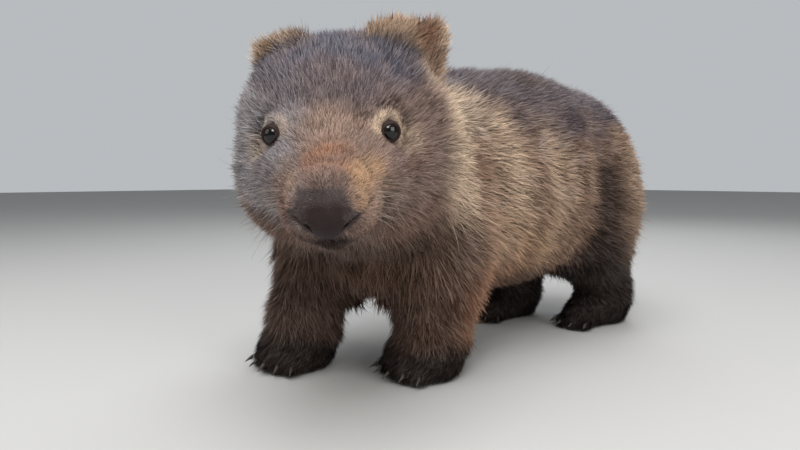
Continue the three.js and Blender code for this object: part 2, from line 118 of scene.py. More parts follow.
camera_data = bpy.data.cameras.new("camera")
camera_data.sensor_width = SENSOR_WIDTH
camera_data.lens = LENS
camera = bpy.data.objects.new("camera", camera_data)
bpy.context.scene.collection.objects.link(camera)
camera.location = HEAD_MIDDLE + CAMERA_FROM_HEAD
looking = CAMERA_HEADING * math.cos(CAMERA_PITCH) + Vector((0, 0, -math.sin(CAMERA_PITCH)))
camera.rotation_euler = looking.to_track_quat("-Z", "Y").to_euler()
bpy.context.scene.camera = camera
print("camera height:", round(camera.location.z, 3))

# %% [markdown]
# The studio is a plain pale floor and soft light. One panel hangs overhead, like an overcast sky. Three
# weaker ones in front and to both sides open the shadows, and one behind catches the loose tips of the coat
# along the back. The plain view transform keeps the colours as they are set.

# %% Floor and lights
FLOOR_SIZE = 16.0
# Name, place, side, power and colour of each lamp
PANELS = (
    ("sky_panel", (0.3, -0.5, 1.8), 1.4, 25, (0.95, 0.97, 1.0)),
    ("front_panel", (0.95, -1.2, 1.3), 0.6, 12, (1.0, 0.99, 0.97)),
    ("left_panel", (1.9, -0.2, 0.8), 1.2, 17, (1.0, 0.98, 0.95)),
    ("right_panel", (-0.5, -1.7, 0.9), 1.0, 5, (1.0, 0.98, 0.95)),
    ("back_panel", (-0.7, 1.3, 1.4), 1.0, 9, (0.95, 0.97, 1.0)),
)
DIM_ROOM = (0.20, 0.21, 0.22, 1)
BRIGHT_WALL = (0.48, 0.50, 0.52, 1)
WALL_EDGE = 0.7

bpy.ops.mesh.primitive_plane_add(size=FLOOR_SIZE, location=(0, 0, FLOOR))
floor = bpy.context.object
floor.name = "studio_floor"


def panel(name, place, size, power, colour):
    """A square lamp that looks at the middle of the body."""
    data = bpy.data.lights.new(name, "AREA")
    data.shape = "SQUARE"
    data.size = size
    data.energy = power
    data.color = colour
    lamp = bpy.data.objects.new(name, data)
    bpy.context.scene.collection.objects.link(lamp)
    lamp.location = place
    aim = (cad_box[0] + cad_box[1]) / 2
    lamp.rotation_euler = (aim - Vector(place)).to_track_quat("-Z", "Y").to_euler()


def light_the_room():
    """A dim room with one bright wall, towards which the camera looks."""
    world = bpy.data.worlds.new("studio")
    bpy.context.scene.world = world
    world.use_nodes = True
    tree = world.node_tree
    place = tree.nodes.new("ShaderNodeTexCoord")
    towards = tree.nodes.new("ShaderNodeVectorMath")
    towards.operation = "DOT_PRODUCT"
    towards.inputs[1].default_value = CAMERA_HEADING
    wall = tree.nodes.new("ShaderNodeValToRGB")
    wall.color_ramp.elements[0].color = DIM_ROOM
    wall.color_ramp.elements[1].color = BRIGHT_WALL
    wall.color_ramp.elements[1].position = WALL_EDGE
    tree.links.new(place.outputs["Generated"], towards.inputs[0])
    tree.links.new(towards.outputs["Value"], wall.inputs["Fac"])
    tree.links.new(wall.outputs["Color"], tree.nodes["Background"].inputs["Color"])


for lamp in PANELS:
    panel(*lamp)
light_the_room()
bpy.context.scene.view_settings.view_transform = "Standard"
print("lamps:", len(PANELS))

# %% [markdown]
# Soft masks do the work of a painter here. Each says, from 0 to 1, how far a place belongs to a region. Skin
# and coat ask the same functions, so their markings agree. `fade` is the soft step that most masks are made
# from, `near` and `stripe` are soft spots and lines, and `blotch` is smooth noise that breaks up every edge.


# %% Soft masks and noise
def fade(value, start, end):
    """0 at start, 1 at end, smooth between them."""
    share = np.clip((value - start) / (end - start), 0, 1)
    return share * share * (3 - 2 * share)


def near(places, centre, radii, soft=0.35):
    """1 inside an egg round a centre, fading to 0 outside it."""
    reach = np.linalg.norm((places - np.array(centre)) / np.array(radii), axis=1)
    return 1 - fade(reach, 1 - soft, 1 + soft)


def distance_to_route(places, route):
    """The shortest way from each place to a line through the route's points."""
    best = np.full(len(places), 1e9)
    stops = np.array(route, dtype=float)
    for start, end in zip(stops[:-1], stops[1:]):
        run = end - start
        share = np.clip((places - start) @ run / (run @ run), 0, 1)
        best = np.minimum(best, np.linalg.norm(places - start - share[:, None] * run, axis=1))
    return best


def stripe(places, route, reach):
    return 1 - fade(distance_to_route(places, route), 0.35 * reach, reach)


def lattice_noise(cells):
    """A repeatable random number for each cell of a lattice."""
    mixed = cells[:, 0] * 73856093 ^ cells[:, 1] * 19349663 ^ cells[:, 2] * 83492791
    mixed = (mixed ^ (mixed >> 13)) * 1274126177
    return ((mixed ^ (mixed >> 16)) & 0xFFFF) / 0xFFFF


def blotch(places, size, seed=0):
    """Smooth noise from -0.5 to 0.5 with features of about that size."""
    scaled = places / size + seed * 17.3 + 500
    base = np.floor(scaled).astype(np.int64)
    part = scaled - base
    part = part * part * (3 - 2 * part)
    total = np.zeros(len(places))
    for corner in range(8):
        step = np.array([corner & 1, corner >> 1 & 1, corner >> 2 & 1])
        weight = np.prod(np.where(step == 1, part, 1 - part), axis=1)
        total += weight * lattice_noise(base + step)
    return total - 0.5


def unit(vectors):
    return vectors / np.maximum(np.linalg.norm(vectors, axis=1, keepdims=True), 1e-9)


def both_sides(places):
    """The same places with the right side laid over the left."""
    return np.column_stack([np.abs(places[:, 0]), places[:, 1], places[:, 2]])


def layered(default, *layers):
    """A value that later layers, each a mask and a value, lay over a default."""
    value = np.full(len(layers[0][0]), float(default))
    for mask, other in layers:
        value = value * (1 - mask) + other * mask
    return value


# %% [markdown]
# The regions. A wombat's coat is longest on flank, cheek and chest, short on the crown, and like velvet
# on the muzzle. The plane of the nape parts head and body, as it parts the two solids. The ears are the
# part of their flaps that stands clear of the crown.

# %% Regions
NAPE = np.array([0.0011, -0.1788, 0.23])
NAPE_FRONT = np.array([0.637, -0.759, 0.139])
EYE_MIDDLE = (0.040, -0.0055, -0.0005)
CROWN_EGGS = (((0, 0.058, -0.008), (0.073, 0.074, 0.050)), ((0.005, 0.080, 0.010), (0.064, 0.048, 0.033)))
EARS = (((0.052, 0.074, 0.027), (0.047, 0.022, 0.040)), ((-0.033, 0.074, 0.019), (0.044, 0.022, 0.042)))
EAR_FEET = (0.018, 0.008)
EAR_PARTING = 0.008
EAR_SHRINK = 0.14


def head_share(places):
    return fade((places - NAPE) @ NAPE_FRONT, -0.014, 0.012)


def ear_share(places):
    local = seen_from_head(places)
    share = np.zeros(len(places))
    for centre, radii in EARS:
        share = np.maximum(share, near(local, centre, radii, 0.12))
    for centre, radii in CROWN_EGGS:
        reach = np.linalg.norm((local - np.array(centre)) / np.array(radii), axis=1)
        share = share * fade((reach - 1) * min(radii), -0.004, 0.002)
    return share * fade(local[:, 2], -0.006, 0.010)


def foot_share(places):
    return 1 - fade(places[:, 2], 0.022, 0.045)


def leg_share(places):
    return 1 - fade(places[:, 2], 0.065, 0.13)


def muzzle_share(places):
    return near(seen_from_head(places), (0, -0.066, -0.03), (0.036, 0.034, 0.040), 0.4)


def eye_share(places, reach):
    local = both_sides(seen_from_head(places))
    return near(local, EYE_MIDDLE, (reach, reach, reach), 0.25)


def crown_share(places):
    """The two sides of the crown, in front of the ears."""
    local = both_sides(seen_from_head(places))
    return near(local, (0.042, 0.055, 0.036), (0.05, 0.035, 0.022), 0.5)


# %% [markdown]
# The coat of the flank lies over loose skin, which falls in a few soft upright folds between shoulder and
# thigh. Each leans back towards the belly. The skin is shaped into these folds, and their light and shade
# are painted on as well: paler on a crest, darker in a hollow. The same table serves for the skin's shape
# and for that painted light and shade.

# %% Folds of the flank
# Y at the back, Y at the belly, half width, and strength: above 0 for a crest, below 0 for a hollow
FOLDS = (
    (-0.074, -0.096, 0.013, -0.7),
    (-0.052, -0.020, 0.017, 1.0),
    (-0.018, 0.010, 0.010, -0.6),
    (0.004, 0.030, 0.010, 0.5),
    (0.030, 0.050, 0.015, 0.4),
    (0.058, 0.066, 0.009, -0.6),
    (0.076, 0.090, 0.010, 0.4),
)
FOLD_TOP = 0.24
FOLD_FOOT = 0.10


def flank_folds(places):
    """From -1 in a hollow to 1 on a crest."""
    height = places[:, 2]
    share = (FOLD_TOP - height) / (FOLD_TOP - FOLD_FOOT)
    wander = 0.022 * blotch(places, 0.045, 11) + 0.008 * blotch(places, 0.016, 12)
    total = np.zeros(len(places))
    for at_back, at_belly, width, strength in FOLDS:
        middle = at_back + (at_belly - at_back) * share + wander
        total += strength * (1 - fade(np.abs(places[:, 1] - middle) / width, 0.1, 1.0))
    side = fade(np.abs(places[:, 0]), 0.02, 0.05)
    upright = fade(height, 0.275, 0.24) * fade(height, 0.06, 0.1)
    broken = np.clip(0.75 + blotch(places, 0.035, 13), 0.2, 1.2)
    return total * side * upright * broken * (1 - head_share(places))


def coat_depth(places):
    """How far the skin lies under the tips of the coat."""
    return layered(
        0.0105,
        (leg_share(places), 0.0085),
        (foot_share(places), 0.0032),
        (head_share(places), 0.0068),
        (muzzle_share(places), 0.0024),
        (eye_share(places, 0.015), 0.0046),
        (ear_share(places), 0.0035),
    )


# %% [markdown]
# One skin. Each flesh solid is a closed body with a hair's gap to its neighbour. A voxel remesh of them all
# wraps a single surface round the lot and closes those gaps. Nose and eyes go in as well, so that the skin
# runs on behind them. Smoothing takes away the facets, and the surface is sunk by the depth of the coat. The
# folds, the open mouth and the outer ends of the nostrils are pressed into it at the same time.

# %% Skin
FLESH = [name for name in nodes if not name.startswith(("claw", "eye", "nose"))]
VOXEL = 0.0025
SMOOTH_ROUNDS = 9
LAST_ROUNDS = 2
SKIN_OFF_FLOOR = 0.0005
FOLD_HEIGHT = 0.0022
MOUTH = (0.0015, -0.071, -0.0495)
MOUTH_SIZE = (0.0080, 0.014, 0.0085)
MOUTH_DEPTH = 0.006
# The lower edge of the nose pad, from the outer end of a nostril to the tip, as seen from in front
PAD_EDGE_X = (0.0, 0.0060, 0.0110, 0.0155, 0.0205, 0.0255)
PAD_EDGE_Z = (-0.0405, -0.0360, -0.0305, -0.0262, -0.0238, -0.0222)
NOSTRIL_START = 0.0080
NOSTRIL_WIDTH = 0.0021
NOSTRIL_DEPTH = 0.0040


def piece_from(shape, title):
    mesh = bpy.data.meshes.new(title)
    shape.to_mesh(mesh)
    shape.free()
    piece = bpy.data.objects.new(title, mesh)
    bpy.context.scene.collection.objects.link(piece)
    shade_smooth(piece)
    return piece


def shade_smooth(piece):
    piece.data.polygons.foreach_set("use_smooth", [True] * len(piece.data.polygons))


def copies_joined(names, title):
    """One new mesh of several CAD nodes, with their loose triangles merged."""
    shape = bmesh.new()
    for name in names:
        shape.from_mesh(nodes[name].data)
    bmesh.ops.remove_doubles(shape, verts=shape.verts, dist=1e-6)
    return piece_from(shape, title)


def apply_modifier(piece, kind, **settings):
    modifier = piece.modifiers.new(kind.lower(), kind)
    for key, value in settings.items():
        setattr(modifier, key, value)
    bpy.context.view_layer.objects.active = piece
    bpy.ops.object.modifier_apply(modifier=modifier.name)


def read_vectors(collection, key, width=3):
    flat = np.zeros(len(collection) * width)
    collection.foreach_get(key, flat)
    return flat.reshape(-1, width)


def keep_largest(piece):
    """Drops every loose shell but the biggest."""
    shape = bmesh.new()
    shape.from_mesh(piece.data)
    left = set(shape.verts)
    best = []
    while left:
        group = [left.pop()]
        for vertex in group:
            for edge in vertex.link_edges:
                other = edge.other_vert(vertex)
                if other in left:
                    left.remove(other)
                    group.append(other)
        if len(group) > len(best):
            best = group
    kept = set(best)
    bmesh.ops.delete(shape, geom=[v for v in shape.verts if v not in kept], context="VERTS")
    shape.to_mesh(piece.data)
    shape.free()


def press_in(piece, depth_at):
    """Moves each point of a piece inwards by the depth that a function gives for its place."""
    places = read_vectors(piece.data.vertices, "co")
    outward = read_vectors(piece.data.vertices, "normal")
    places -= outward * depth_at(places)[:, None]
    places[:, 2] = np.maximum(places[:, 2], FLOOR + SKIN_OFF_FLOOR)
    piece.data.vertices.foreach_set("co", places.ravel())
    piece.data.update()


def draw_in_ears(piece):
    """Makes the flaps of the ears smaller in their own plane, because hair fringes them all round."""
    places = read_vectors(piece.data.vertices, "co")
    local = seen_from_head(places)
    share = ear_share(places)
    for (middle, _), foot_height in zip(EARS, EAR_FEET):
        foot = np.array([middle[0], middle[1], foot_height])
        same_side = 1.0 * (np.sign(local[:, 0] - EAR_PARTING) == np.sign(middle[0]))
        local -= (local - foot) * (EAR_SHRINK * share * same_side)[:, None]
    places = np.array(HEAD_MIDDLE) + local @ HEAD_AXES.T
    piece.data.vertices.foreach_set("co", places.ravel())
    piece.data.update()


def below_pad_edge(local):
    """How far a place lies under the lower edge of the nose pad, seen from in front."""
    return np.interp(np.abs(local[:, 0]), PAD_EDGE_X, PAD_EDGE_Z) - local[:, 2]


def nostril_share(places):
    """A slit along the lower edge of the pad, thin towards the tip and wide at its outer end."""
    local = seen_from_head(places)
    side = np.abs(local[:, 0])
    width = NOSTRIL_WIDTH * (0.45 + 0.55 * fade(side, 0.009, 0.019))
    slit = 1 - fade(np.abs(below_pad_edge(local)) / width, 0.4, 1.0)
    ends = fade(side, NOSTRIL_START, NOSTRIL_START + 0.003) * fade(side, 0.0285, 0.0260)
    return slit * ends * fade(local[:, 1], -0.050, -0.058)


def mouth_share(places):
    return near(seen_from_head(places), MOUTH, MOUTH_SIZE, 0.35)


def skin_depth(places):
    depth = coat_depth(places) - FOLD_HEIGHT * flank_folds(places)
    depth = depth + MOUTH_DEPTH * mouth_share(places)
    return depth + NOSTRIL_DEPTH * nostril_share(places)


skin = copies_joined(FLESH + ["nose", "eye_left", "eye_right"], "skin")
apply_modifier(skin, "REMESH", mode="VOXEL", voxel_size=VOXEL)
keep_largest(skin)
apply_modifier(skin, "SMOOTH", factor=0.5, iterations=SMOOTH_ROUNDS)
draw_in_ears(skin)
press_in(skin, skin_depth)
apply_modifier(skin, "SMOOTH", factor=0.5, iterations=LAST_ROUNDS)
shade_smooth(skin)
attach(skin, "root")
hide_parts(*FLESH)
print("skin faces:", len(skin.data.polygons))

# %% [markdown]
# The unwrap. Each tuft later takes its own small patch on this map, at the place where it grows, so the baked
# colours of neighbours don't run into each other.

# %% Unwrap
BAKE_MAP = "OFBake"


def unwrap(piece):
    piece.data.uv_layers.new(name=BAKE_MAP)
    bpy.context.view_layer.objects.active = piece
    piece.select_set(True)
    bpy.ops.object.mode_set(mode="EDIT")
    bpy.ops.mesh.select_all(action="SELECT")
    bpy.ops.uv.smart_project(angle_limit=math.radians(66), island_margin=0.002)
    bpy.ops.object.mode_set(mode="OBJECT")
    piece.select_set(False)


unwrap(skin)

# %% [markdown]
# Hairs grow on the triangles of a surface. For each tuft a triangle is drawn at random, weighted by its area
# and by how dense the coat is there. The tuft's root is then a random point on that triangle.


# %% A surface as triangles
class GrowingGround:
    def __init__(self, mesh):
        mesh.calc_loop_triangles()
        corners = read_vectors(mesh.loop_triangles, "vertices").astype(np.int64).ravel()
        loops = read_vectors(mesh.loop_triangles, "loops").astype(np.int64).ravel()
        self.corners = read_vectors(mesh.vertices, "co")[corners].reshape(-1, 3, 3)
        self.normals = read_vectors(mesh.vertices, "normal")[corners].reshape(-1, 3, 3)
        self.patches = read_vectors(mesh.uv_layers[BAKE_MAP].data, "uv", 2)[loops].reshape(-1, 3, 2)
        edges = self.corners[:, 1:] - self.corners[:, :1]
        self.area = np.linalg.norm(np.cross(edges[:, 0], edges[:, 1]), axis=1) / 2
        self.centres = self.corners.mean(axis=1)

    def draw(self, rng, count, density):
        """Random roots: places, normals and map places."""
        chance = self.area * density
        chosen = rng.choice(len(chance), count, p=chance / chance.sum())
        mix = rng.dirichlet((1, 1, 1), count)
        places = np.einsum("nk,nkd->nd", mix, self.corners[chosen])
        normals = unit(np.einsum("nk,nkd->nd", mix, self.normals[chosen]))
        patches = np.einsum("nk,nkd->nd", mix, self.patches[chosen])
        return places, normals, patches


skin_ground = GrowingGround(skin.data)
print("skin area in square metres:", round(float(skin_ground.area.sum()), 3))

# %% [markdown]
# The lie of the coat. Brush a wombat from nose to tail and the hand follows this field: away from the nose
# over the face, straight back along flank and thigh, down the chest, and forward over the feet to the claws.
# On the ears it stands up and outwards. The field only has to be roughly right, because it is flattened onto
# the skin at each root. Slow noise bends it, and quick noise gathers the tufts into small locks.

# %% Comb directions
NOSE = np.array([0, -0.084, -0.016])
EAR_RISE = np.array([0.5, 0.25, 0.9])


def overlay(base, mask, other):
    return base * (1 - mask[:, None]) + np.asarray(other) * mask[:, None]


def comb(places, normals):
    count = len(places)
    height = places[:, 2]
    droop = 0.18 + 0.4 * fade(height, 0.26, 0.1)
    lie = np.column_stack([0.1 * np.sign(places[:, 0]), np.ones(count), -droop])
    chest = fade(places[:, 1], -0.085, -0.15) * fade(height, 0.26, 0.19)
    lie = overlay(lie, chest, (0, 0.25, -1.0))
    fore = leg_share(places) * fade(places[:, 1], 0.03, -0.03)
    lie = overlay(lie, fore, (0, 0.45, -1.0))
    hind = leg_share(places) * fade(places[:, 1], 0.03, 0.08)
    lie = overlay(lie, hind, (0, 0.8, -0.75))
    lie = overlay(lie, foot_share(places), (0.05, -0.9, -0.5))
    local = seen_from_head(places)
    away = unit(local - NOSE)
    away[:, 1] += 0.3
    away[:, 2] -= 0.45 * fade(local[:, 2], 0.0, -0.05)
    outward = local[:, 0] - EAR_PARTING
    ear_side = np.sign(outward) * fade(np.abs(outward), 0.0, 0.06)
    rising = np.column_stack([ear_side, np.full(count, 1.0), np.full(count, 1.0)]) * EAR_RISE
    away = overlay(unit(away), ear_share(places), rising)
    lie = overlay(unit(lie), head_share(places), away @ HEAD_AXES.T)
    slow = np.column_stack([blotch(places, 0.03, s) for s in (1, 2, 3)])
    quick = np.column_stack([blotch(places, 0.007, s) for s in (4, 5, 6)])
    lie += 0.4 * slow + 0.55 * quick
    lie -= normals * np.sum(lie * normals, axis=1, keepdims=True)
    return unit(lie)


def coat_length(places):
    local = seen_from_head(places)
    cheek = near(local, (0, 0.06, -0.05), (0.13, 0.05, 0.055), 0.5) * head_share(places)
    jowl = fade(np.abs(local[:, 0]), 0.055, 0.085) * fade(local[:, 2], 0.03, 0.0) * head_share(places)
    return layered(
        0.0185,
        (fade(places[:, 2], 0.24, 0.14), 0.022),
        (leg_share(places), 0.0165),
        (foot_share(places), 0.0095),
        (head_share(places), 0.0115),
        (cheek, 0.0165),
        (jowl, 0.021),
        (crown_share(places), 0.0145),
        (near(local, (0, -0.03, -0.005), (0.05, 0.045, 0.045), 0.4), 0.0075),
        (muzzle_share(places), 0.0052),
        (eye_share(places, 0.015), 0.0040),
        (ear_share(places), 0.0125),
    )


def coat_lift(places):
    """How steeply the tufts leave the skin, in degrees."""
    return layered(
        30.0,
        (leg_share(places), 28.0),
        (foot_share(places), 24.0),
        (head_share(places), 38.0),
        (crown_share(places), 46.0),
        (muzzle_share(places), 24.0),
        (eye_share(places, 0.018), 18.0),
        (ear_share(places), 40.0),
    )


# %% [markdown]
# The markings. A bare-nosed wombat is grizzled: dark, brown and pale hairs grow side by side. Their colour
# changes from region to region: slate grey on the crown, rusty over the nose, sandy along the flank, nearly
# black on the paws. The tint is laid on like washes of paint, each with a mask that says where. Some washes
# paint light and shade, in part or in whole: dark in the mouth, under the muzzle and jaw, in the flank's
# hollows, behind the flank and under the belly, and pale on the crests of the folds, at the rump's edge and
# on the right cheek. The grizzle itself comes later, tuft by tuft.

# %% Coat colours
SAND = (0.58, 0.40, 0.275)
FAWN = (0.40, 0.265, 0.20)
GOLD = (0.60, 0.36, 0.20)
CREAM = (0.82, 0.62, 0.45)
RUST = (0.34, 0.16, 0.092)
BROWN = (0.25, 0.14, 0.10)
TAUPE = (0.31, 0.21, 0.175)
MAUVE = (0.150, 0.115, 0.125)
SLATE = (0.125, 0.118, 0.150)
ASH = (0.42, 0.38, 0.39)
UMBER = (0.115, 0.068, 0.052)
INK = (0.075, 0.055, 0.070)
BLACK = (0.028, 0.017, 0.015)

# %% Markings of the head
# Round spots in the head's own directions: middle, radii, colour and strength
HEAD_SPOTS = (
    ((0.021, -0.010, 0.018), (0.010, 0.03, 0.013), MAUVE, 0.6),
    ((0.004, -0.030, 0.004), (0.030, 0.03, 0.011), FAWN, 0.8),
    ((0.001, -0.052, -0.001), (0.028, 0.02, 0.009), RUST, 0.75),
    ((0.026, -0.062, -0.013), (0.014, 0.03, 0.012), GOLD, 0.9),
    ((-0.026, -0.062, -0.014), (0.013, 0.03, 0.013), FAWN, 0.9),
    ((0.030, -0.060, -0.028), (0.012, 0.03, 0.010), FAWN, 0.9),
    ((-0.029, -0.060, -0.028), (0.012, 0.03, 0.012), BROWN, 0.7),
    # These two, low on the muzzle beside the mouth, are painted shade under the muzzle.
    ((0.024, -0.066, -0.041), (0.013, 0.03, 0.009), BROWN, 0.75),
    ((-0.025, -0.068, -0.040), (0.014, 0.03, 0.011), BROWN, 0.8),
    ((0.030, 0.060, 0.048), (0.018, 0.03, 0.008), SAND, 0.45),
    ((-0.030, 0.060, 0.042), (0.020, 0.03, 0.009), FAWN, 0.6),
    ((0.051, 0.000, -0.027), (0.012, 0.02, 0.007), BROWN, 0.6),
    ((-0.042, -0.020, -0.026), (0.010, 0.03, 0.014), UMBER, 0.35),
)
# The same on both sides: middle, radii, colour, strength on the left and on the right
PAIRED_SPOTS = (
    ((0.051, 0.000, -0.012), (0.009, 0.012, 0.010), CREAM, 0.8, 0.6),
    ((0.032, -0.014, 0.002), (0.006, 0.010, 0.009), FAWN, 0.6, 0.4),
)
BROW = (
    (0.030, -0.016, 0.004),
    (0.033, -0.012, 0.0105),
    (0.040, -0.006, 0.0135),
    (0.047, 0.001, 0.010),
    (0.051, 0.004, 0.002),
)
BROW_REACH = 0.0090
EYE_RIM = 0.0074
# Strength, and where it starts and ends across the head, for the left and the right jaw
JAWS = ((0.85, 0.02, 0.04), (0.8, -0.02, -0.04))


def wash(tint, mask, colour):
    return overlay(tint, np.clip(mask, 0, 1), colour)


def head_tint(local, wobble, fine):
    twin = both_sides(local)
    side, height = twin[:, 0], local[:, 2]
    left = fade(local[:, 0], -0.01, 0.01)
    tint = np.tile(TAUPE, (len(local), 1))
    # The right cheek is pale ash grey: partly its own colour, partly painted cool light falling on that side.
    cheek = fade(local[:, 0], -0.005, -0.03) * fade(local[:, 1], 0.095, 0.060)
    tint = wash(tint, cheek * fade(height, -0.075, -0.045), ASH)
    for strength, start, end in JAWS:
        tint = wash(tint, strength * fade(height, -0.045, -0.065) * fade(local[:, 0], start, end), BROWN)
    tint = wash(tint, 0.85 * fade(height + 0.012 * wobble, 0.004, 0.020), MAUVE)
    tint = wash(tint, fade(height + 0.3 * side + 0.016 * wobble, 0.028, 0.042), SLATE)
    tint = wash(tint, 0.2 * fade(fine, 0.08, 0.3) * fade(height, 0.0, 0.02), FAWN)
    for centre, radii, colour, strength in HEAD_SPOTS:
        tint = wash(tint, strength * near(local, centre, radii, 0.5) * (1 + fine), colour)
    for centre, radii, colour, on_left, on_right in PAIRED_SPOTS:
        strength = on_right + (on_left - on_right) * left
        tint = wash(tint, strength * near(twin, centre, radii, 0.5) * (1 + fine), colour)
    brow = stripe(twin, BROW, BROW_REACH) * (0.6 + 0.4 * left)
    tint = wash(tint, brow * (1 + 1.2 * fine), CREAM)
    ruff = fade(side + 0.02 * wobble, 0.062, 0.080) * fade(height, -0.088, -0.070)
    ruff = ruff * fade(height, 0.05, 0.02)
    tint = wash(tint, (0.35 + 0.5 * left) * ruff * (1 + fine), CREAM)
    # Painted shade under the muzzle and the nose pad.
    under = fade(height + 0.006 * wobble, -0.033, -0.042) * fade(side, 0.030, 0.018)
    under = under * fade(local[:, 1], 0.0, -0.03)
    tint = wash(tint, 0.9 * under, UMBER)
    # Painted shade in and round the open mouth.
    tint = wash(tint, 0.8 * near(local, MOUTH, (0.016, 0.02, 0.014), 0.4), BLACK)
    # Darker low under the jaw: partly the coat's own colour, partly painted shade under the cheek.
    tint = wash(tint, 0.8 * fade(height + 0.02 * wobble, -0.075, -0.098), UMBER)
    return wash(tint, near(twin, EYE_MIDDLE, (EYE_RIM,) * 3, 0.15), BLACK)


def ear_tint(local, fine):
    """Dark at the foot, rusty in the middle, cream along the outer edge and the upper rim."""
    twin_x = np.where(local[:, 0] > 0, local[:, 0], 0.022 - local[:, 0])
    tint = np.tile(SAND, (len(local), 1))
    tint = wash(tint, 0.7 * fade(twin_x, 0.060, 0.045) * fade(local[:, 2], 0.046, 0.036), MAUVE)
    tint = wash(tint, 0.8 * near(local, (0.068, 0.07, 0.038), (0.011, 0.03, 0.016), 0.5), RUST)
    tint = wash(tint, 0.8 * fade(twin_x, 0.072, 0.082) * (1 + fine), CREAM)
    tint = wash(tint, 0.7 * near(local, (0.074, 0.07, 0.020), (0.010, 0.03, 0.008), 0.5), BROWN)
    return wash(tint, 0.6 * fade(local[:, 2], 0.052, 0.060), CREAM)


# %% Markings of the body
RUFF = ((0.036, -0.074, 0.256), (0.058, -0.105, 0.226), (0.072, -0.120, 0.200), (0.077, -0.125, 0.168))
SHOULDER = ((0.070, -0.074, 0.200), (0.075, -0.088, 0.160), (0.078, -0.080, 0.140), (0.078, -0.075, 0.094))
HIP_SHADOW = ((0.078, 0.118, 0.180), (0.074, 0.122, 0.152), (0.070, 0.126, 0.126), (0.06, 0.128, 0.05))
LOIN = (0.066, 0.070, 0.234)
FORE_AXIS = (-0.100, -0.168)  # where the middle of the left and the right foreleg lie along Y


def trunk_tint(places, wobble, fine):
    twin = both_sides(places)
    y, height = places[:, 1], places[:, 2]
    folds = flank_folds(places)
    tint = np.tile(SAND, (len(places), 1))
    tint = wash(tint, 0.5 * fade(height, 0.17, 0.11), GOLD)
    tint = wash(tint, 0.7 * fade(y + 0.03 * wobble, 0.0, 0.075), BROWN)
    # Painted shade in the hollows of the folds, and painted light on their crests.
    tint = wash(tint, 0.9 * np.clip(-1.3 * folds, 0, 1), BROWN)
    tint = wash(tint, 0.5 * np.clip(folds, 0, 1), CREAM)
    tint = wash(tint, fade(height + 0.05 * wobble, 0.205, 0.262) * fade(y, -0.10, -0.06), MAUVE)
    nape = fade(seen_from_head(places)[:, 2] + 0.012 * wobble, -0.040, 0.0) * fade(y, -0.05, -0.10)
    tint = wash(tint, 0.8 * nape, MAUVE)
    tint = wash(tint, 0.3 * fade(fine, 0.1, 0.35) * fade(height, 0.12, 0.2), ASH)
    tint = wash(tint, 0.95 * stripe(twin, RUFF, 0.034) * (1 + 0.6 * fine), CREAM)
    tint = wash(tint, 0.75 * stripe(twin, SHOULDER, 0.020), RUST)
    tint = wash(tint, 0.85 * near(twin, LOIN, (0.03, 0.021, 0.014), 0.5), INK)
    tint = wash(tint, 0.75 * near(twin, (0.030, 0.040, 0.280), (0.03, 0.03, 0.012), 0.5), UMBER)
    # Dark under the body: partly the belly's own coat, partly painted shade.
    belly = fade(height, 0.100, 0.084) * fade(y, -0.03, 0.01)
    return wash(tint, 0.8 * belly, UMBER)


def front_tint(tint, places, wobble):
    """The dark chest and the forelegs, rusty behind and dark in front."""
    y, height = places[:, 1], places[:, 2]
    right = fade(places[:, 0], -0.01, -0.03)
    chest = fade(height + 0.01 * wobble, 0.165, 0.135) * fade(y + 0.06 * right, -0.086, -0.108)
    tint = wash(tint, 0.9 * chest, UMBER)
    axis = np.where(places[:, 0] > -0.02, *FORE_AXIS)
    fore = fade(height + 0.01 * wobble, 0.135, 0.085) * fade(y, 0.03, -0.02)
    tint = wash(tint, 0.75 * fore, RUST)
    tint = wash(tint, 0.6 * fore * right, UMBER)
    inner = fade(np.abs(places[:, 0] + 0.02), 0.055, 0.035)
    front = np.maximum(fade(y - axis, 0.004, -0.018), inner)
    return wash(tint, 0.85 * fore * front, UMBER)


def rear_tint(tint, places, wobble):
    """Painted shadow on haunch and hip, the dark hind legs, and painted back light on the rump."""
    twin = both_sides(places)
    y, height = places[:, 1], places[:, 2]
    # Painted shadow behind the flank: dark on the haunch, and darker along a stripe at the hip.
    haunch = fade(y + 0.02 * wobble, 0.085, 0.115) * fade(height + 0.02 * wobble, 0.235, 0.180)
    tint = wash(tint, 0.8 * haunch, UMBER)
    tint = wash(tint, 0.6 * stripe(twin, HIP_SHADOW, 0.034), BLACK)
    hind = fade(y, 0.085, 0.110) * fade(height, 0.140, 0.085)
    tint = wash(tint, 0.93 * hind, BLACK)
    # Paler again towards the rump's edge: painted light from behind.
    rump = fade(y + 0.01 * wobble, 0.135, 0.180) * fade(height, 0.07, 0.13) * fade(height, 0.250, 0.200)
    return wash(tint, 0.65 * rump, SAND)


def body_tint(places, wobble, fine):
    tint = trunk_tint(places, wobble, fine)
    tint = front_tint(tint, places, wobble)
    tint = rear_tint(tint, places, wobble)
    return wash(tint, 0.97 * (1 - fade(places[:, 2] + 0.012 * wobble, 0.030, 0.050)), BLACK)


def coat_tint(places):
    """The colour of the coat at each place, with its painted light and shade, before the grizzle."""
    wobble = blotch(places, 0.03, 5)
    fine = blotch(places, 0.010, 6)
    local = seen_from_head(places)
    tint = wash(body_tint(places, wobble, fine), head_share(places), head_tint(local, wobble, fine))
    tint = wash(tint, ear_share(places), ear_tint(local, fine))
    return tint * (1 + 0.25 * fine)[:, None]


# %% [markdown]
# Colour in the shader. One shared node group shades the tint along the hair, dark at the root and pale near
# the tip, and from tuft to tuft, from near black to silvery. The dark root is partly the hair's own darker
# base and partly painted shade deep in the coat. The group only puts out a colour, and the shader stays in
# each material.


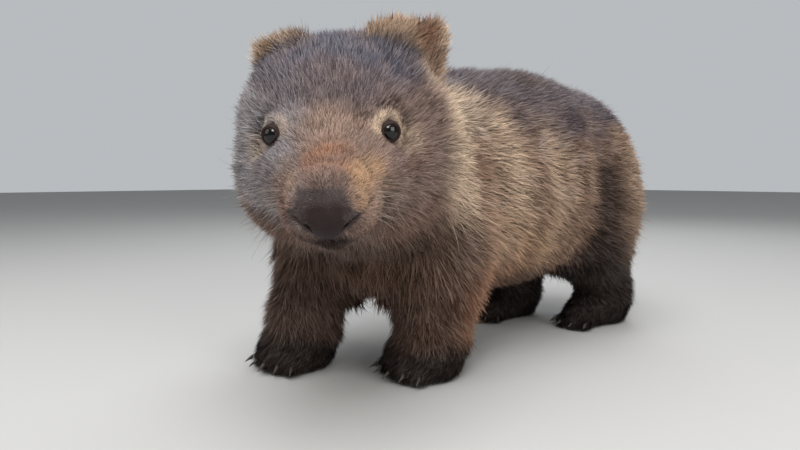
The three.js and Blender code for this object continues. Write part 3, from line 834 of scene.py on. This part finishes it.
# %% Node helpers
def feed(tree, value, socket):
    """Gives a socket either a link or a constant."""
    if isinstance(value, bpy.types.NodeSocket):
        tree.links.new(value, socket)
    elif isinstance(value, tuple):
        socket.default_value = (*value, 1)
    else:
        socket.default_value = value


def mix_colour(tree, factor, first, second):
    node = tree.nodes.new("ShaderNodeMix")
    node.data_type = "RGBA"
    colour_inputs = [socket for socket in node.inputs if socket.type == "RGBA"]
    feed(tree, factor, node.inputs[0])
    feed(tree, first, colour_inputs[0])
    feed(tree, second, colour_inputs[1])
    return next(socket for socket in node.outputs if socket.type == "RGBA")


def scaled(tree, colour, factor):
    node = tree.nodes.new("ShaderNodeVectorMath")
    node.operation = "SCALE"
    tree.links.new(colour, node.inputs[0])
    node.inputs["Scale"].default_value = factor
    return node.outputs["Vector"]


def maths(tree, operation, first, second=0.0, clamp=False):
    node = tree.nodes.new("ShaderNodeMath")
    node.operation = operation
    node.use_clamp = clamp
    feed(tree, first, node.inputs[0])
    feed(tree, second, node.inputs[1])
    return node.outputs[0]


def colour_attribute(tree, name):
    source = tree.nodes.new("ShaderNodeAttribute")
    source.attribute_name = name
    return source.outputs["Color"]


def channels(tree, colour):
    split = tree.nodes.new("ShaderNodeSeparateColor")
    tree.links.new(colour, split.inputs["Color"])
    return split.outputs


def noise(tree, scale, detail=2.0):
    place = tree.nodes.new("ShaderNodeTexCoord")
    grain = tree.nodes.new("ShaderNodeTexNoise")
    grain.inputs["Scale"].default_value = scale
    grain.inputs["Detail"].default_value = detail
    tree.links.new(place.outputs["Object"], grain.inputs["Vector"])
    return grain.outputs["Fac"]


def bump(tree, height, strength, distance):
    node = tree.nodes.new("ShaderNodeBump")
    node.inputs["Strength"].default_value = strength
    node.inputs["Distance"].default_value = distance
    tree.links.new(height, node.inputs["Height"])
    return node.outputs["Normal"]


def new_material(name, roughness, specular=0.5):
    material = bpy.data.materials.new(name)
    material.use_nodes = True
    shader = material.node_tree.nodes["Principled BSDF"]
    shader.inputs["Roughness"].default_value = roughness
    shader.inputs["Specular IOR Level"].default_value = specular
    return material, material.node_tree, shader


# %% The coat's shading along and between tufts
DARK_HAIR = 0.18
PALE_HAIR = 1.95
SILVER = (0.78, 0.70, 0.63)
ROOT_SHADE = 0.22


def coat_colour_group():
    tree = bpy.data.node_groups.new("coat_colour", "ShaderNodeTree")
    tree.interface.new_socket("Tint", in_out="INPUT", socket_type="NodeSocketColor")
    for name in ("Along", "Tone"):
        tree.interface.new_socket(name, in_out="INPUT", socket_type="NodeSocketFloat")
    tree.interface.new_socket("Colour", in_out="OUTPUT", socket_type="NodeSocketColor")
    given = tree.nodes.new("NodeGroupInput").outputs
    result = tree.nodes.new("NodeGroupOutput")
    # A tuft's tone runs from 0, near black, over 0.5, its plain colour, to 1, pale near the tip.
    darkness = maths(tree, "MULTIPLY", maths(tree, "SUBTRACT", 0.5, given["Tone"]), 2.0, clamp=True)
    paleness = maths(tree, "MULTIPLY", maths(tree, "SUBTRACT", given["Tone"], 0.5), 2.0, clamp=True)
    paleness = maths(tree, "MULTIPLY", paleness, given["Along"])
    pale = mix_colour(tree, 0.22, scaled(tree, given["Tint"], PALE_HAIR), SILVER)
    colour = mix_colour(tree, darkness, given["Tint"], scaled(tree, given["Tint"], DARK_HAIR))
    colour = mix_colour(tree, paleness, colour, pale)
    # Towards the root the colour falls to about a fifth: partly the hair's darker base, partly painted shade
    # in the coat.
    rootward = maths(tree, "SUBTRACT", 1.0, given["Along"])
    colour = mix_colour(tree, rootward, colour, scaled(tree, colour, ROOT_SHADE))
    tree.links.new(colour, result.inputs["Colour"])
    return tree


coat_colour = coat_colour_group()


# %% Coat and skin materials
def shaded_coat(tree, tone=None):
    """The group's colour from the tint and hair attributes; the skin brings a tone of its own."""
    group = tree.nodes.new("ShaderNodeGroup")
    group.node_tree = coat_colour
    hair = channels(tree, colour_attribute(tree, "hair"))
    tree.links.new(colour_attribute(tree, "tint"), group.inputs["Tint"])
    tree.links.new(hair[0], group.inputs["Along"])
    tree.links.new(tone or hair[1], group.inputs["Tone"])
    return group.outputs["Colour"]


def coat_material():
    material, tree, shader = new_material("coat", 0.55, 0.12)
    tree.links.new(shaded_coat(tree), shader.inputs["Base Color"])
    return material


def skin_material():
    material, tree, shader = new_material("skin", 0.8, 0.2)
    grain = noise(tree, 900, 3)
    tree.links.new(shaded_coat(tree, grain), shader.inputs["Base Color"])
    tree.links.new(bump(tree, grain, 0.6, 0.0012), shader.inputs["Normal"])
    return material


COAT = coat_material()
SKIN = skin_material()


def store_colour(mesh, name, values):
    layer = mesh.attributes.new(name, "FLOAT_COLOR", "POINT")
    four = np.column_stack([values, np.ones(len(values))])
    layer.data.foreach_set("color", four.astype(np.float32).ravel())


def paint(mesh, tint, along, tone):
    """Stores the tint, and the place along the hair and its tone, on each vertex of a mesh."""
    store_colour(mesh, "tint", tint)
    store_colour(mesh, "hair", np.column_stack([along, tone, np.zeros(len(tone))]))


# The skin counts as a place low on the hair, so it takes the root's painted shade and looks dark between
# tufts.
UNDERCOAT = 0.35
PLAIN_TONE = 0.5
OPENING_SHADE = (0.004, 0.003, 0.003)

skin_places = read_vectors(skin.data.vertices, "co")
# Painted shade: the mouth and the nostrils are washed nearly black on the skin.
opening = np.maximum(mouth_share(skin_places), nostril_share(skin_places))
skin_tint = wash(coat_tint(skin_places), opening, OPENING_SHADE)
paint(skin.data, skin_tint, np.full(len(skin_tint), UNDERCOAT), np.full(len(skin_tint), PLAIN_TONE))
skin.data.materials.append(SKIN)

# %% [markdown]
# A tuft is one blade, broad near its root and drawn out to a point, bent along its length. Blender has hair,
# but the exported model keeps only real meshes, so the blades are made as arrays, many thousands at once. A
# short blade is three triangles and a long one five. It starts a little under the skin, rises by the coat's
# lift, and bows over so that its tip lies along the coat. The blades take most of their shading from the skin
# below, so the light rolls softly over the body, and each leans its own way by a little.


# %% Blades
def blade_pattern(rows, widths):
    """Where along the blade its rows lie, how wide they are, and the triangles between them."""
    faces = []
    for row in range(len(rows) - 2):
        a = 2 * row
        faces += [(a, a + 1, a + 3), (a, a + 3, a + 2)]
    a = 2 * (len(rows) - 2)
    faces.append((a, a + 1, a + 2))
    return {"rows": rows, "widths": widths, "faces": np.array(faces), "points": 2 * len(rows) - 1}


SHORT_BLADE = blade_pattern((0.0, 0.5, 1.0), (0.8, 1.0, 0.0))
LONG_BLADE = blade_pattern((0.0, 0.35, 0.7, 1.0), (0.8, 1.0, 0.7, 0.0))
PATCH = 0.003
ROOT_DEPTH = 0.0008
LEAST_WIDTH = 0.00022
WIDTH_PER_LENGTH = 0.023
TUFTS_OFF_FLOOR = 0.0004
# How much blades differ from their neighbours: as a spread in radians, or as a range of factors
TURN_SPREAD = 0.22
TWIST_SPREAD = 0.45
SWAY_SPREAD = 0.1
LIFT_RANGE = (0.65, 1.4)
LENGTH_RANGE = (0.6, 1.25)
BOW_RANGE = (0.35, 0.75)
SHADING_SCATTER = 0.38


def rotated(vectors, axes, angles):
    """Each vector turned about its own axis."""
    cos, sin = np.cos(angles)[:, None], np.sin(angles)[:, None]
    along = np.sum(vectors * axes, axis=1, keepdims=True)
    return vectors * cos + np.cross(axes, vectors) * sin + axes * along * (1 - cos)


def blade_vertices(rng, pattern, places, normals, lie, length, lift, width):
    count = len(places)
    lie = rotated(lie, normals, rng.normal(0, TURN_SPREAD, count))
    steep = np.radians(lift * rng.uniform(*LIFT_RANGE, count))
    length = length * rng.uniform(*LENGTH_RANGE, count)
    bow = rng.uniform(*BOW_RANGE, count)
    sideways = np.cross(normals, lie)
    sway = rng.normal(0, SWAY_SPREAD, count)
    across = rotated(sideways, lie, rng.normal(0, TWIST_SPREAD, count))
    vertices = np.zeros((count, pattern["points"], 3))
    for row, (share, row_width) in enumerate(zip(pattern["rows"], pattern["widths"])):
        rise = length * np.sin(steep) * (share * (1 + 0.5 * bow) - 0.5 * bow * share * share) - ROOT_DEPTH
        reach = length * np.cos(steep) * (share + 0.15 * bow * share * share)
        centre = places + normals * rise[:, None] + lie * reach[:, None]
        centre += sideways * (sway * length * share * share)[:, None]
        if row_width == 0:
            vertices[:, -1] = centre
        else:
            half = across * (width * row_width / 2)[:, None]
            vertices[:, 2 * row] = centre + half
            vertices[:, 2 * row + 1] = centre - half
    return vertices


def mesh_from_arrays(name, vertices, faces, normals):
    mesh = bpy.data.meshes.new(name)
    mesh.vertices.add(len(vertices))
    mesh.vertices.foreach_set("co", vertices.astype(np.float32).ravel())
    mesh.loops.add(faces.size)
    mesh.loops.foreach_set("vertex_index", faces.astype(np.int32).ravel())
    mesh.polygons.add(len(faces))
    mesh.polygons.foreach_set("loop_start", np.arange(0, faces.size, 3, dtype=np.int32))
    mesh.polygons.foreach_set("use_smooth", [True] * len(faces))
    mesh.update(calc_edges=True)
    mesh.normals_split_custom_set_from_vertices(normals)
    return mesh


# The grizzle: the middle tone, its scatter, the draws below and above which a tuft is pale or dark, and how
# far a lock shifts each of them
MIDDLE_TONE = 0.47
TONE_SCATTER = 0.07
PALE_BELOW = 0.30
DARK_ABOVE = 0.80
LOCK_TONE = 0.28
LOCK_SHIFT = 0.25
PALE_TONES = (0.6, 1.0)
DARK_TONES = (0.0, 0.3)


def tuft_tones(rng, places):
    """0.5 is a plain tuft, 0 a black one and 1 a pale one; locks of a few millimetres differ too."""
    count = len(places)
    locks = blotch(places, 0.0045, 8) + 0.7 * blotch(places, 0.014, 9)
    tone = MIDDLE_TONE + LOCK_TONE * locks + rng.normal(0, TONE_SCATTER, count)
    draw = rng.random(count)
    pale = draw < PALE_BELOW + LOCK_SHIFT * locks
    dark = draw > DARK_ABOVE + LOCK_SHIFT * locks
    tone = np.where(pale, rng.uniform(*PALE_TONES, count), tone)
    tone = np.where(dark, rng.uniform(*DARK_TONES, count), tone)
    return np.clip(tone, 0, 1)


def store_patches(mesh, pattern, patches, faces):
    """Gives each tuft a small patch of its own on the bake map, round the place of its root."""
    points = pattern["points"]
    along = np.repeat(pattern["rows"], 2)[:points]
    corner = np.where(np.arange(points) % 2 == 0, -0.5, 0.5)
    corner[-1] = 0
    u = patches[:, :1] + corner[None] * PATCH
    v = patches[:, 1:] + (along[None] - 0.5) * PATCH
    map_places = np.stack([u, v], axis=2).reshape(-1, 2)
    layer = mesh.uv_layers.new(name=BAKE_MAP)
    layer.data.foreach_set("uv", map_places[faces.ravel()].astype(np.float32).ravel())


def grow_tufts(name, ground, count, density, seed, **looks):
    """One mesh of tufts spread over a surface."""
    rng = np.random.default_rng(seed)
    pattern = looks.get("pattern", SHORT_BLADE)
    points = pattern["points"]
    places, normals, patches = ground.draw(rng, count, density)
    length = coat_length(places) * looks.get("longer", 1.0)
    width = (LEAST_WIDTH + WIDTH_PER_LENGTH * coat_length(places)) * looks.get("wider", 1.0)
    lie = comb(places, normals)
    lift = coat_lift(places) * looks.get("steeper", 1.0)
    vertices = blade_vertices(rng, pattern, places, normals, lie, length, lift, width)
    vertices[:, :, 2] = np.maximum(vertices[:, :, 2], FLOOR + TUFTS_OFF_FLOOR)
    faces = (pattern["faces"][None] + points * np.arange(count)[:, None, None]).reshape(-1, 3)
    shading = unit(normals + SHADING_SCATTER * rng.normal(0, 1, (count, 3)))
    mesh = mesh_from_arrays(name, vertices.reshape(-1, 3), faces, np.repeat(shading, points, axis=0))
    tone = np.clip(tuft_tones(rng, places) + looks.get("paler", 0.0), 0, 1)
    along = np.repeat(pattern["rows"], 2)[:points]
    tint = looks.get("tint", coat_tint)(places)
    paint(mesh, np.repeat(tint, points, axis=0), np.tile(along, count), np.repeat(tone, points))
    store_patches(mesh, pattern, patches, faces)
    mesh.materials.append(COAT)
    piece = bpy.data.objects.new(name, mesh)
    bpy.context.scene.collection.objects.link(piece)
    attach(piece, "root")


# %% [markdown]
# The coat is grown in several meshes of the same kind, because one would be too heavy to handle. Head and
# feet have short hair, so they need far more tufts to the same area than the flank does.


# %% Coat
def bare_share(places):
    """1 where no fur grows: under the nose pad, on the eyes, in the mouth and the nostrils."""
    local = seen_from_head(places)
    pad = near(local, (0, -0.076, -0.022), (0.016, 0.02, 0.017), 0.05)
    return np.maximum.reduce([pad, mouth_share(places), nostril_share(places), eye_share(places, 0.0076)])


centres = skin_ground.centres
off_the_floor = fade(centres[:, 2], FLOOR + 0.002, FLOOR + 0.006)
growing = (1 - bare_share(centres)) * off_the_floor
fineness = (0.012 / coat_length(centres)) ** 1.1
on_the_head = fade(head_share(centres), 0.02, 0.5)
TUFTS_EACH = 66000
BODY_PIECES = 4
HEAD_PIECES = 3
# Name, number of meshes, where it grows and first seed
COAT_PARTS = (
    ("body_coat", BODY_PIECES, growing * fineness * (1 - on_the_head), 40),
    ("head_coat", HEAD_PIECES, growing * fineness * on_the_head, 50),
)
for part, pieces, density, first_seed in COAT_PARTS:
    for number in range(pieces):
        grow_tufts(f"{part}_{number + 1}", skin_ground, TUFTS_EACH, density, first_seed + number)
print("tufts:", (BODY_PIECES + HEAD_PIECES) * TUFTS_EACH)

# %% [markdown]
# Above the coat stand longer, thinner guard hairs. They are few, but they soften the outline. A second,
# longer set hangs from the low cheeks and the throat and gives them their loose look.

# %% Guard hairs
GUARD_HAIRS = 9000
HANGING_HAIRS = 2400
no_velvet = (1 - muzzle_share(centres)) * (1 - foot_share(centres)) * (1 - eye_share(centres, 0.03))
low_cheek = near(centres, np.array(on_head((0.03, 0.03, -0.085))), (0.09, 0.09, 0.035), 0.5)
GUARD_LOOK = {"pattern": LONG_BLADE, "longer": 1.4, "wider": 0.5, "paler": 0.1}
HANGING_LOOK = {"pattern": LONG_BLADE, "longer": 2.1, "wider": 0.45, "steeper": 0.9, "paler": 0.45}
hanging = growing * no_velvet * (low_cheek + 1e-4)
grow_tufts("guard_hairs", skin_ground, GUARD_HAIRS, growing * no_velvet, 70, **GUARD_LOOK)
grow_tufts("hanging_hairs", skin_ground, HANGING_HAIRS, hanging, 71, **HANGING_LOOK)
print("guard hairs:", GUARD_HAIRS + HANGING_HAIRS)

# %% [markdown]
# The nose pad is bare skin: soft, nearly black and finely pebbled, with a slit of a nostril that curves round
# the lower edge of each wing. Its top and its wings carry a fine fuzz that blends it into the muzzle. The
# CAD solid has its true shape. A merged copy is remeshed finely and smoothed, and the nostrils pressed in.


# %% Nose
NOSE_VOXEL = 0.0006
NOSE_SMOOTH_ROUNDS = 16
NOSE_FUZZ_HAIRS = 14000
LIP_FUZZ_HAIRS = 12000
PAD_FUZZ = (0.105, 0.080, 0.078)
# How far out the bare middle of the pad reaches at each height, in the head's own directions
WING_Z = (-0.024, -0.018, -0.012, -0.004)
WING_X = (0.024, 0.0125, 0.0095, 0.0095)


def nose_material():
    """Marks: the nostril in red, the fuzzy top and wings in green."""
    material, tree, shader = new_material("nose_skin", 0.45, 0.25)
    marks = channels(tree, colour_attribute(tree, "pad"))
    colour = mix_colour(tree, noise(tree, 160), (0.008, 0.003, 0.003), (0.028, 0.013, 0.013))
    colour = mix_colour(tree, marks[1], colour, (0.065, 0.045, 0.043))
    # Painted shade: the nostril is nearly black.
    colour = mix_colour(tree, marks[0], colour, (0.002, 0.0015, 0.0015))
    tree.links.new(colour, shader.inputs["Base Color"])
    place = tree.nodes.new("ShaderNodeTexCoord")
    pebble = tree.nodes.new("ShaderNodeTexVoronoi")
    pebble.inputs["Scale"].default_value = 1100
    tree.links.new(place.outputs["Object"], pebble.inputs["Vector"])
    tree.links.new(bump(tree, pebble.outputs["Distance"], 0.5, 0.0006), shader.inputs["Normal"])
    return material


def fuzzy_share(local):
    """The top of the pad and the upper sides of its wings."""
    top = fade(local[:, 2], -0.018, -0.008)
    wings = fade(np.abs(local[:, 0]), 0.008, 0.019) * fade(below_pad_edge(local), -0.001, -0.006)
    return np.maximum(top, wings)


def lip_share(local):
    """The furry rim of the pad: its upper wings, and the upper lip outside the nostrils."""
    lip = fade(below_pad_edge(local), 0.0008, 0.0022)
    bare_reach = np.interp(local[:, 2], WING_Z, WING_X) + 0.005 * (local[:, 0] < 0)
    above_slit = fade(below_pad_edge(local), -0.0015, -0.0040)
    wing = fade(np.abs(local[:, 0]) - bare_reach, -0.001, 0.003) * above_slit
    top = fade(local[:, 2], -0.0105, -0.0080)
    return np.maximum.reduce([lip, wing, top])


def fuzz_tint(places):
    """Grey on the ridge, and the muzzle's own colours on the rim."""
    local = seen_from_head(places)
    tint = np.tile(PAD_FUZZ, (len(local), 1))
    return wash(tint, lip_share(local), coat_tint(places))


nose = copies_joined(["nose"], "nose_pad")
apply_modifier(nose, "REMESH", mode="VOXEL", voxel_size=NOSE_VOXEL)
apply_modifier(nose, "SMOOTH", factor=0.5, iterations=NOSE_SMOOTH_ROUNDS)
press_in(nose, lambda places: NOSTRIL_DEPTH * nostril_share(places))
apply_modifier(nose, "SMOOTH", factor=0.5, iterations=LAST_ROUNDS)
shade_smooth(nose)
nose_places = read_vectors(nose.data.vertices, "co")
pad_places = seen_from_head(nose_places)
nose_fuzz = np.maximum(fuzzy_share(pad_places), lip_share(pad_places))
pad_marks = np.column_stack([nostril_share(nose_places), nose_fuzz, 0 * nose_fuzz])
store_colour(nose.data, "pad", pad_marks)
nose.data.materials.append(nose_material())
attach(nose, "root")
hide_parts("nose")
unwrap(nose)
nose_ground = GrowingGround(nose.data)
pad_centres = seen_from_head(nose_ground.centres)
lips = lip_share(pad_centres) * (1 - nostril_share(nose_ground.centres)) + 1e-6
fuzz = fuzzy_share(pad_centres) * (1 - lips) + 1e-6
grow_tufts("nose_fuzz", nose_ground, NOSE_FUZZ_HAIRS, fuzz, 80, longer=0.5, wider=0.6, tint=fuzz_tint)
grow_tufts("lip_fuzz", nose_ground, LIP_FUZZ_HAIRS, lips, 81, longer=0.75, wider=0.8, tint=fuzz_tint)
print("nose faces:", len(nose.data.polygons))

# %% [markdown]
# The eyes are small and dark. The pupil is wide, the iris a deep brown that only shows at its rim, and the
# gloss of the wet surface does more for a living look than the colour.

# %% Eyes
EYE_RADIUS = 0.008
EYE_LOOK = Vector((0.30, -0.91, 0.25)).normalized()
HANDS = {"left": 1, "right": -1}


def gaze(side):
    local = EYE_LOOK.copy()
    local.x *= HANDS[side]
    return (head_turn @ local).normalized()


# How far from the middle of the cornea, as a share of the iris, and the colour there
IRIS = (
    (0.00, (0.0015, 0.0015, 0.0015)),
    (0.62, (0.0015, 0.0015, 0.0015)),
    (0.72, (0.016, 0.008, 0.005)),
    (0.92, (0.010, 0.006, 0.004)),
    (1.00, (0.004, 0.003, 0.003)),
)
IRIS_REACH = 0.0066


def eye_material(side):
    """Pupil, iris and rim by the distance from the middle of the cornea."""
    material, tree, shader = new_material(f"eye_{side}", 0.08, 0.45)
    place = tree.nodes.new("ShaderNodeTexCoord")
    reach = tree.nodes.new("ShaderNodeVectorMath")
    reach.operation = "DISTANCE"
    reach.inputs[1].default_value = middle_of(f"eye_{side}") + gaze(side) * EYE_RADIUS
    tree.links.new(place.outputs["Object"], reach.inputs[0])
    bands = tree.nodes.new("ShaderNodeValToRGB")
    stops = bands.color_ramp.elements
    while len(stops) < len(IRIS):
        stops.new(1.0)
    for stop, (where, colour) in zip(stops, IRIS):
        stop.position = where
        stop.color = (*colour, 1)
    tree.links.new(maths(tree, "DIVIDE", reach.outputs["Value"], IRIS_REACH), bands.inputs["Fac"])
    tree.links.new(bands.outputs["Color"], shader.inputs["Base Color"])
    return material


def make_eye(side):
    shape = bmesh.new()
    bmesh.ops.create_uvsphere(shape, u_segments=40, v_segments=24, radius=EYE_RADIUS)
    bmesh.ops.translate(shape, verts=shape.verts, vec=middle_of(f"eye_{side}"))
    eye = piece_from(shape, f"eyeball_{side}")
    eye.data.materials.append(eye_material(side))
    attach(eye, "root")
    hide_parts(f"eye_{side}")


for side in HANDS:
    make_eye(side)

# %% [markdown]
# The lids are a soft ring of bare dark skin round each ball. Its cross-section is a plain loop: along the
# ball from under the skin to the opening, over a rounded rim, and back outside. The loop is swept round the
# line of sight, and the opening is a little wider than high.

# %% Lids
LID_OPENING = (41, 40)  # half angles at the ball's middle, in degrees, across and up
# Degrees beyond the opening, and distance from the ball's middle
LID_PROFILE = (
    (50, 0.0076),
    (4, 0.0079),
    (-1, 0.0082),
    (1, 0.0086),
    (7, 0.0089),
    (16, 0.0088),
    (28, 0.0084),
    (50, 0.0080),
)
LID_SPOKES = 44


def lid_material():
    material, tree, shader = new_material("lid_skin", 0.55, 0.15)
    colour = mix_colour(tree, noise(tree, 400), (0.012, 0.006, 0.005), (0.042, 0.022, 0.018))
    tree.links.new(colour, shader.inputs["Base Color"])
    tree.links.new(bump(tree, noise(tree, 1800), 0.35, 0.0004), shader.inputs["Normal"])
    return material


LID_SKIN = lid_material()


def lid_loop(shape, middle, look, spread, edge):
    """The cross-section of the lids, laid out from the line of sight towards one side."""
    loop = []
    for beyond, radius in LID_PROFILE:
        angle = math.radians(edge + beyond)
        loop.append(shape.verts.new(middle + (look * math.cos(angle) + spread * math.sin(angle)) * radius))
    return loop


def make_lids(side):
    middle = middle_of(f"eye_{side}")
    look = gaze(side)
    across = look.cross(head_turn @ Vector((0, 0, 1))).normalized()
    upward = across.cross(look)
    shape = bmesh.new()
    loops = []
    for spoke in range(LID_SPOKES):
        turn = 2 * math.pi * spoke / LID_SPOKES
        edge = 1 / math.hypot(math.cos(turn) / LID_OPENING[0], math.sin(turn) / LID_OPENING[1])
        spread = across * math.cos(turn) + upward * math.sin(turn)
        loops.append(lid_loop(shape, middle, look, spread, edge))
    steps = len(LID_PROFILE)
    for here, there in zip(loops, loops[1:] + loops[:1]):
        for step in range(steps):
            following = (step + 1) % steps
            shape.faces.new((here[step], there[step], there[following], here[following]))
    bmesh.ops.recalc_face_normals(shape, faces=shape.faces)
    lids = piece_from(shape, f"lids_{side}")
    lids.data.materials.append(LID_SKIN)
    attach(lids, "root")


for side in HANDS:
    make_lids(side)

# %% [markdown]
# Whiskers spring in loose rows from the sides of the muzzle. Each is a fine tapering tube that bends back and
# down. Some are pale, some dark.

# %% Whiskers
WHISKER_SIDES = 4
WHISKER_STEPS = 9
WHISKER_RADIUS = 0.00014
skin_tree = BVHTree.FromObject(skin, bpy.context.evaluated_depsgraph_get())


def whisker_ring(shape, centre, forward, thickness):
    side_way = forward.orthogonal().normalized()
    other_way = forward.cross(side_way)
    ring = []
    for corner in range(WHISKER_SIDES):
        turn = 2 * math.pi * corner / WHISKER_SIDES
        offset = side_way * math.cos(turn) + other_way * math.sin(turn)
        ring.append(shape.verts.new(centre + offset * thickness))
    return ring


def add_whisker(shape, root, heading, bend, length):
    """A tapering tube along a curve that starts along the heading and bends towards the bend."""
    rings = []
    for step in range(WHISKER_STEPS + 1):
        share = step / WHISKER_STEPS
        centre = root + (heading + bend * share) * length * share
        forward = (heading + 2 * bend * share).normalized()
        rings.append(whisker_ring(shape, centre, forward, WHISKER_RADIUS * (1 - 0.8 * share)))
    for lower, upper in zip(rings[:-1], rings[1:]):
        for corner in range(WHISKER_SIDES):
            following = (corner + 1) % WHISKER_SIDES
            shape.faces.new((lower[corner], lower[following], upper[following], upper[corner]))
    shape.faces.new(rings[-1])
    shape.faces.new(rings[0][::-1])


def whisker_material(name, colour):
    material, tree, shader = new_material(name, 0.4, 0.3)
    darker = tuple(0.6 * value for value in colour)
    tree.links.new(mix_colour(tree, noise(tree, 300), darker, colour), shader.inputs["Base Color"])
    return material


def make_whiskers(name, count, colour, seed):
    rng = np.random.default_rng(seed)
    shape = bmesh.new()
    for index in range(count):
        hand = 1 if index % 2 else -1
        start = (hand * rng.uniform(0.026, 0.036), rng.uniform(-0.062, -0.040), rng.uniform(-0.046, -0.016))
        root, normal, _, _ = skin_tree.find_nearest(on_head(start))
        heading = Vector((hand * rng.uniform(0.6, 0.9), rng.uniform(0.1, 0.7), rng.uniform(-0.6, 0.0)))
        heading = (head_turn @ heading.normalized() + normal * 0.4).normalized()
        bend = head_turn @ Vector((0, rng.uniform(0.2, 0.5), rng.uniform(-0.7, -0.2)))
        add_whisker(shape, root - normal * 0.001, heading, bend, rng.uniform(0.018, 0.040))
    whiskers = piece_from(shape, name)
    whiskers.data.materials.append(whisker_material(name, colour))
    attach(whiskers, "root")


make_whiskers("whiskers_pale", 44, (0.50, 0.42, 0.34), 100)
make_whiskers("whiskers_dark", 26, (0.03, 0.022, 0.02), 101)

# %% [markdown]
# Eighteen short digging claws, five on each forefoot and four on each hind foot. They are merged copies of
# the CAD ones, subdivided once to round their facets.


# %% Claws
def horn_material():
    material, tree, shader = new_material("horn", 0.45, 0.4)
    streak = noise(tree, 220)
    colour = mix_colour(tree, streak, (0.02, 0.015, 0.013), (0.085, 0.068, 0.055))
    tree.links.new(colour, shader.inputs["Base Color"])
    tree.links.new(bump(tree, streak, 0.3, 0.0005), shader.inputs["Normal"])
    return material


claw_names = [name for name in nodes if name.startswith("claw")]
claws = copies_joined(claw_names, "claws")
apply_modifier(claws, "SUBSURF", levels=1, render_levels=1)
shade_smooth(claws)
claws.data.materials.append(horn_material())
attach(claws, "root")
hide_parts(*claw_names)
print("claws:", len(claw_names))

# %% Floor material
FLOOR_COLOUR = (0.54, 0.53, 0.515, 1)
floor_material, _, floor_shader = new_material("studio_floor", 0.9, 0.2)
floor_shader.inputs["Base Color"].default_value = FLOOR_COLOUR
floor.data.materials.append(floor_material)
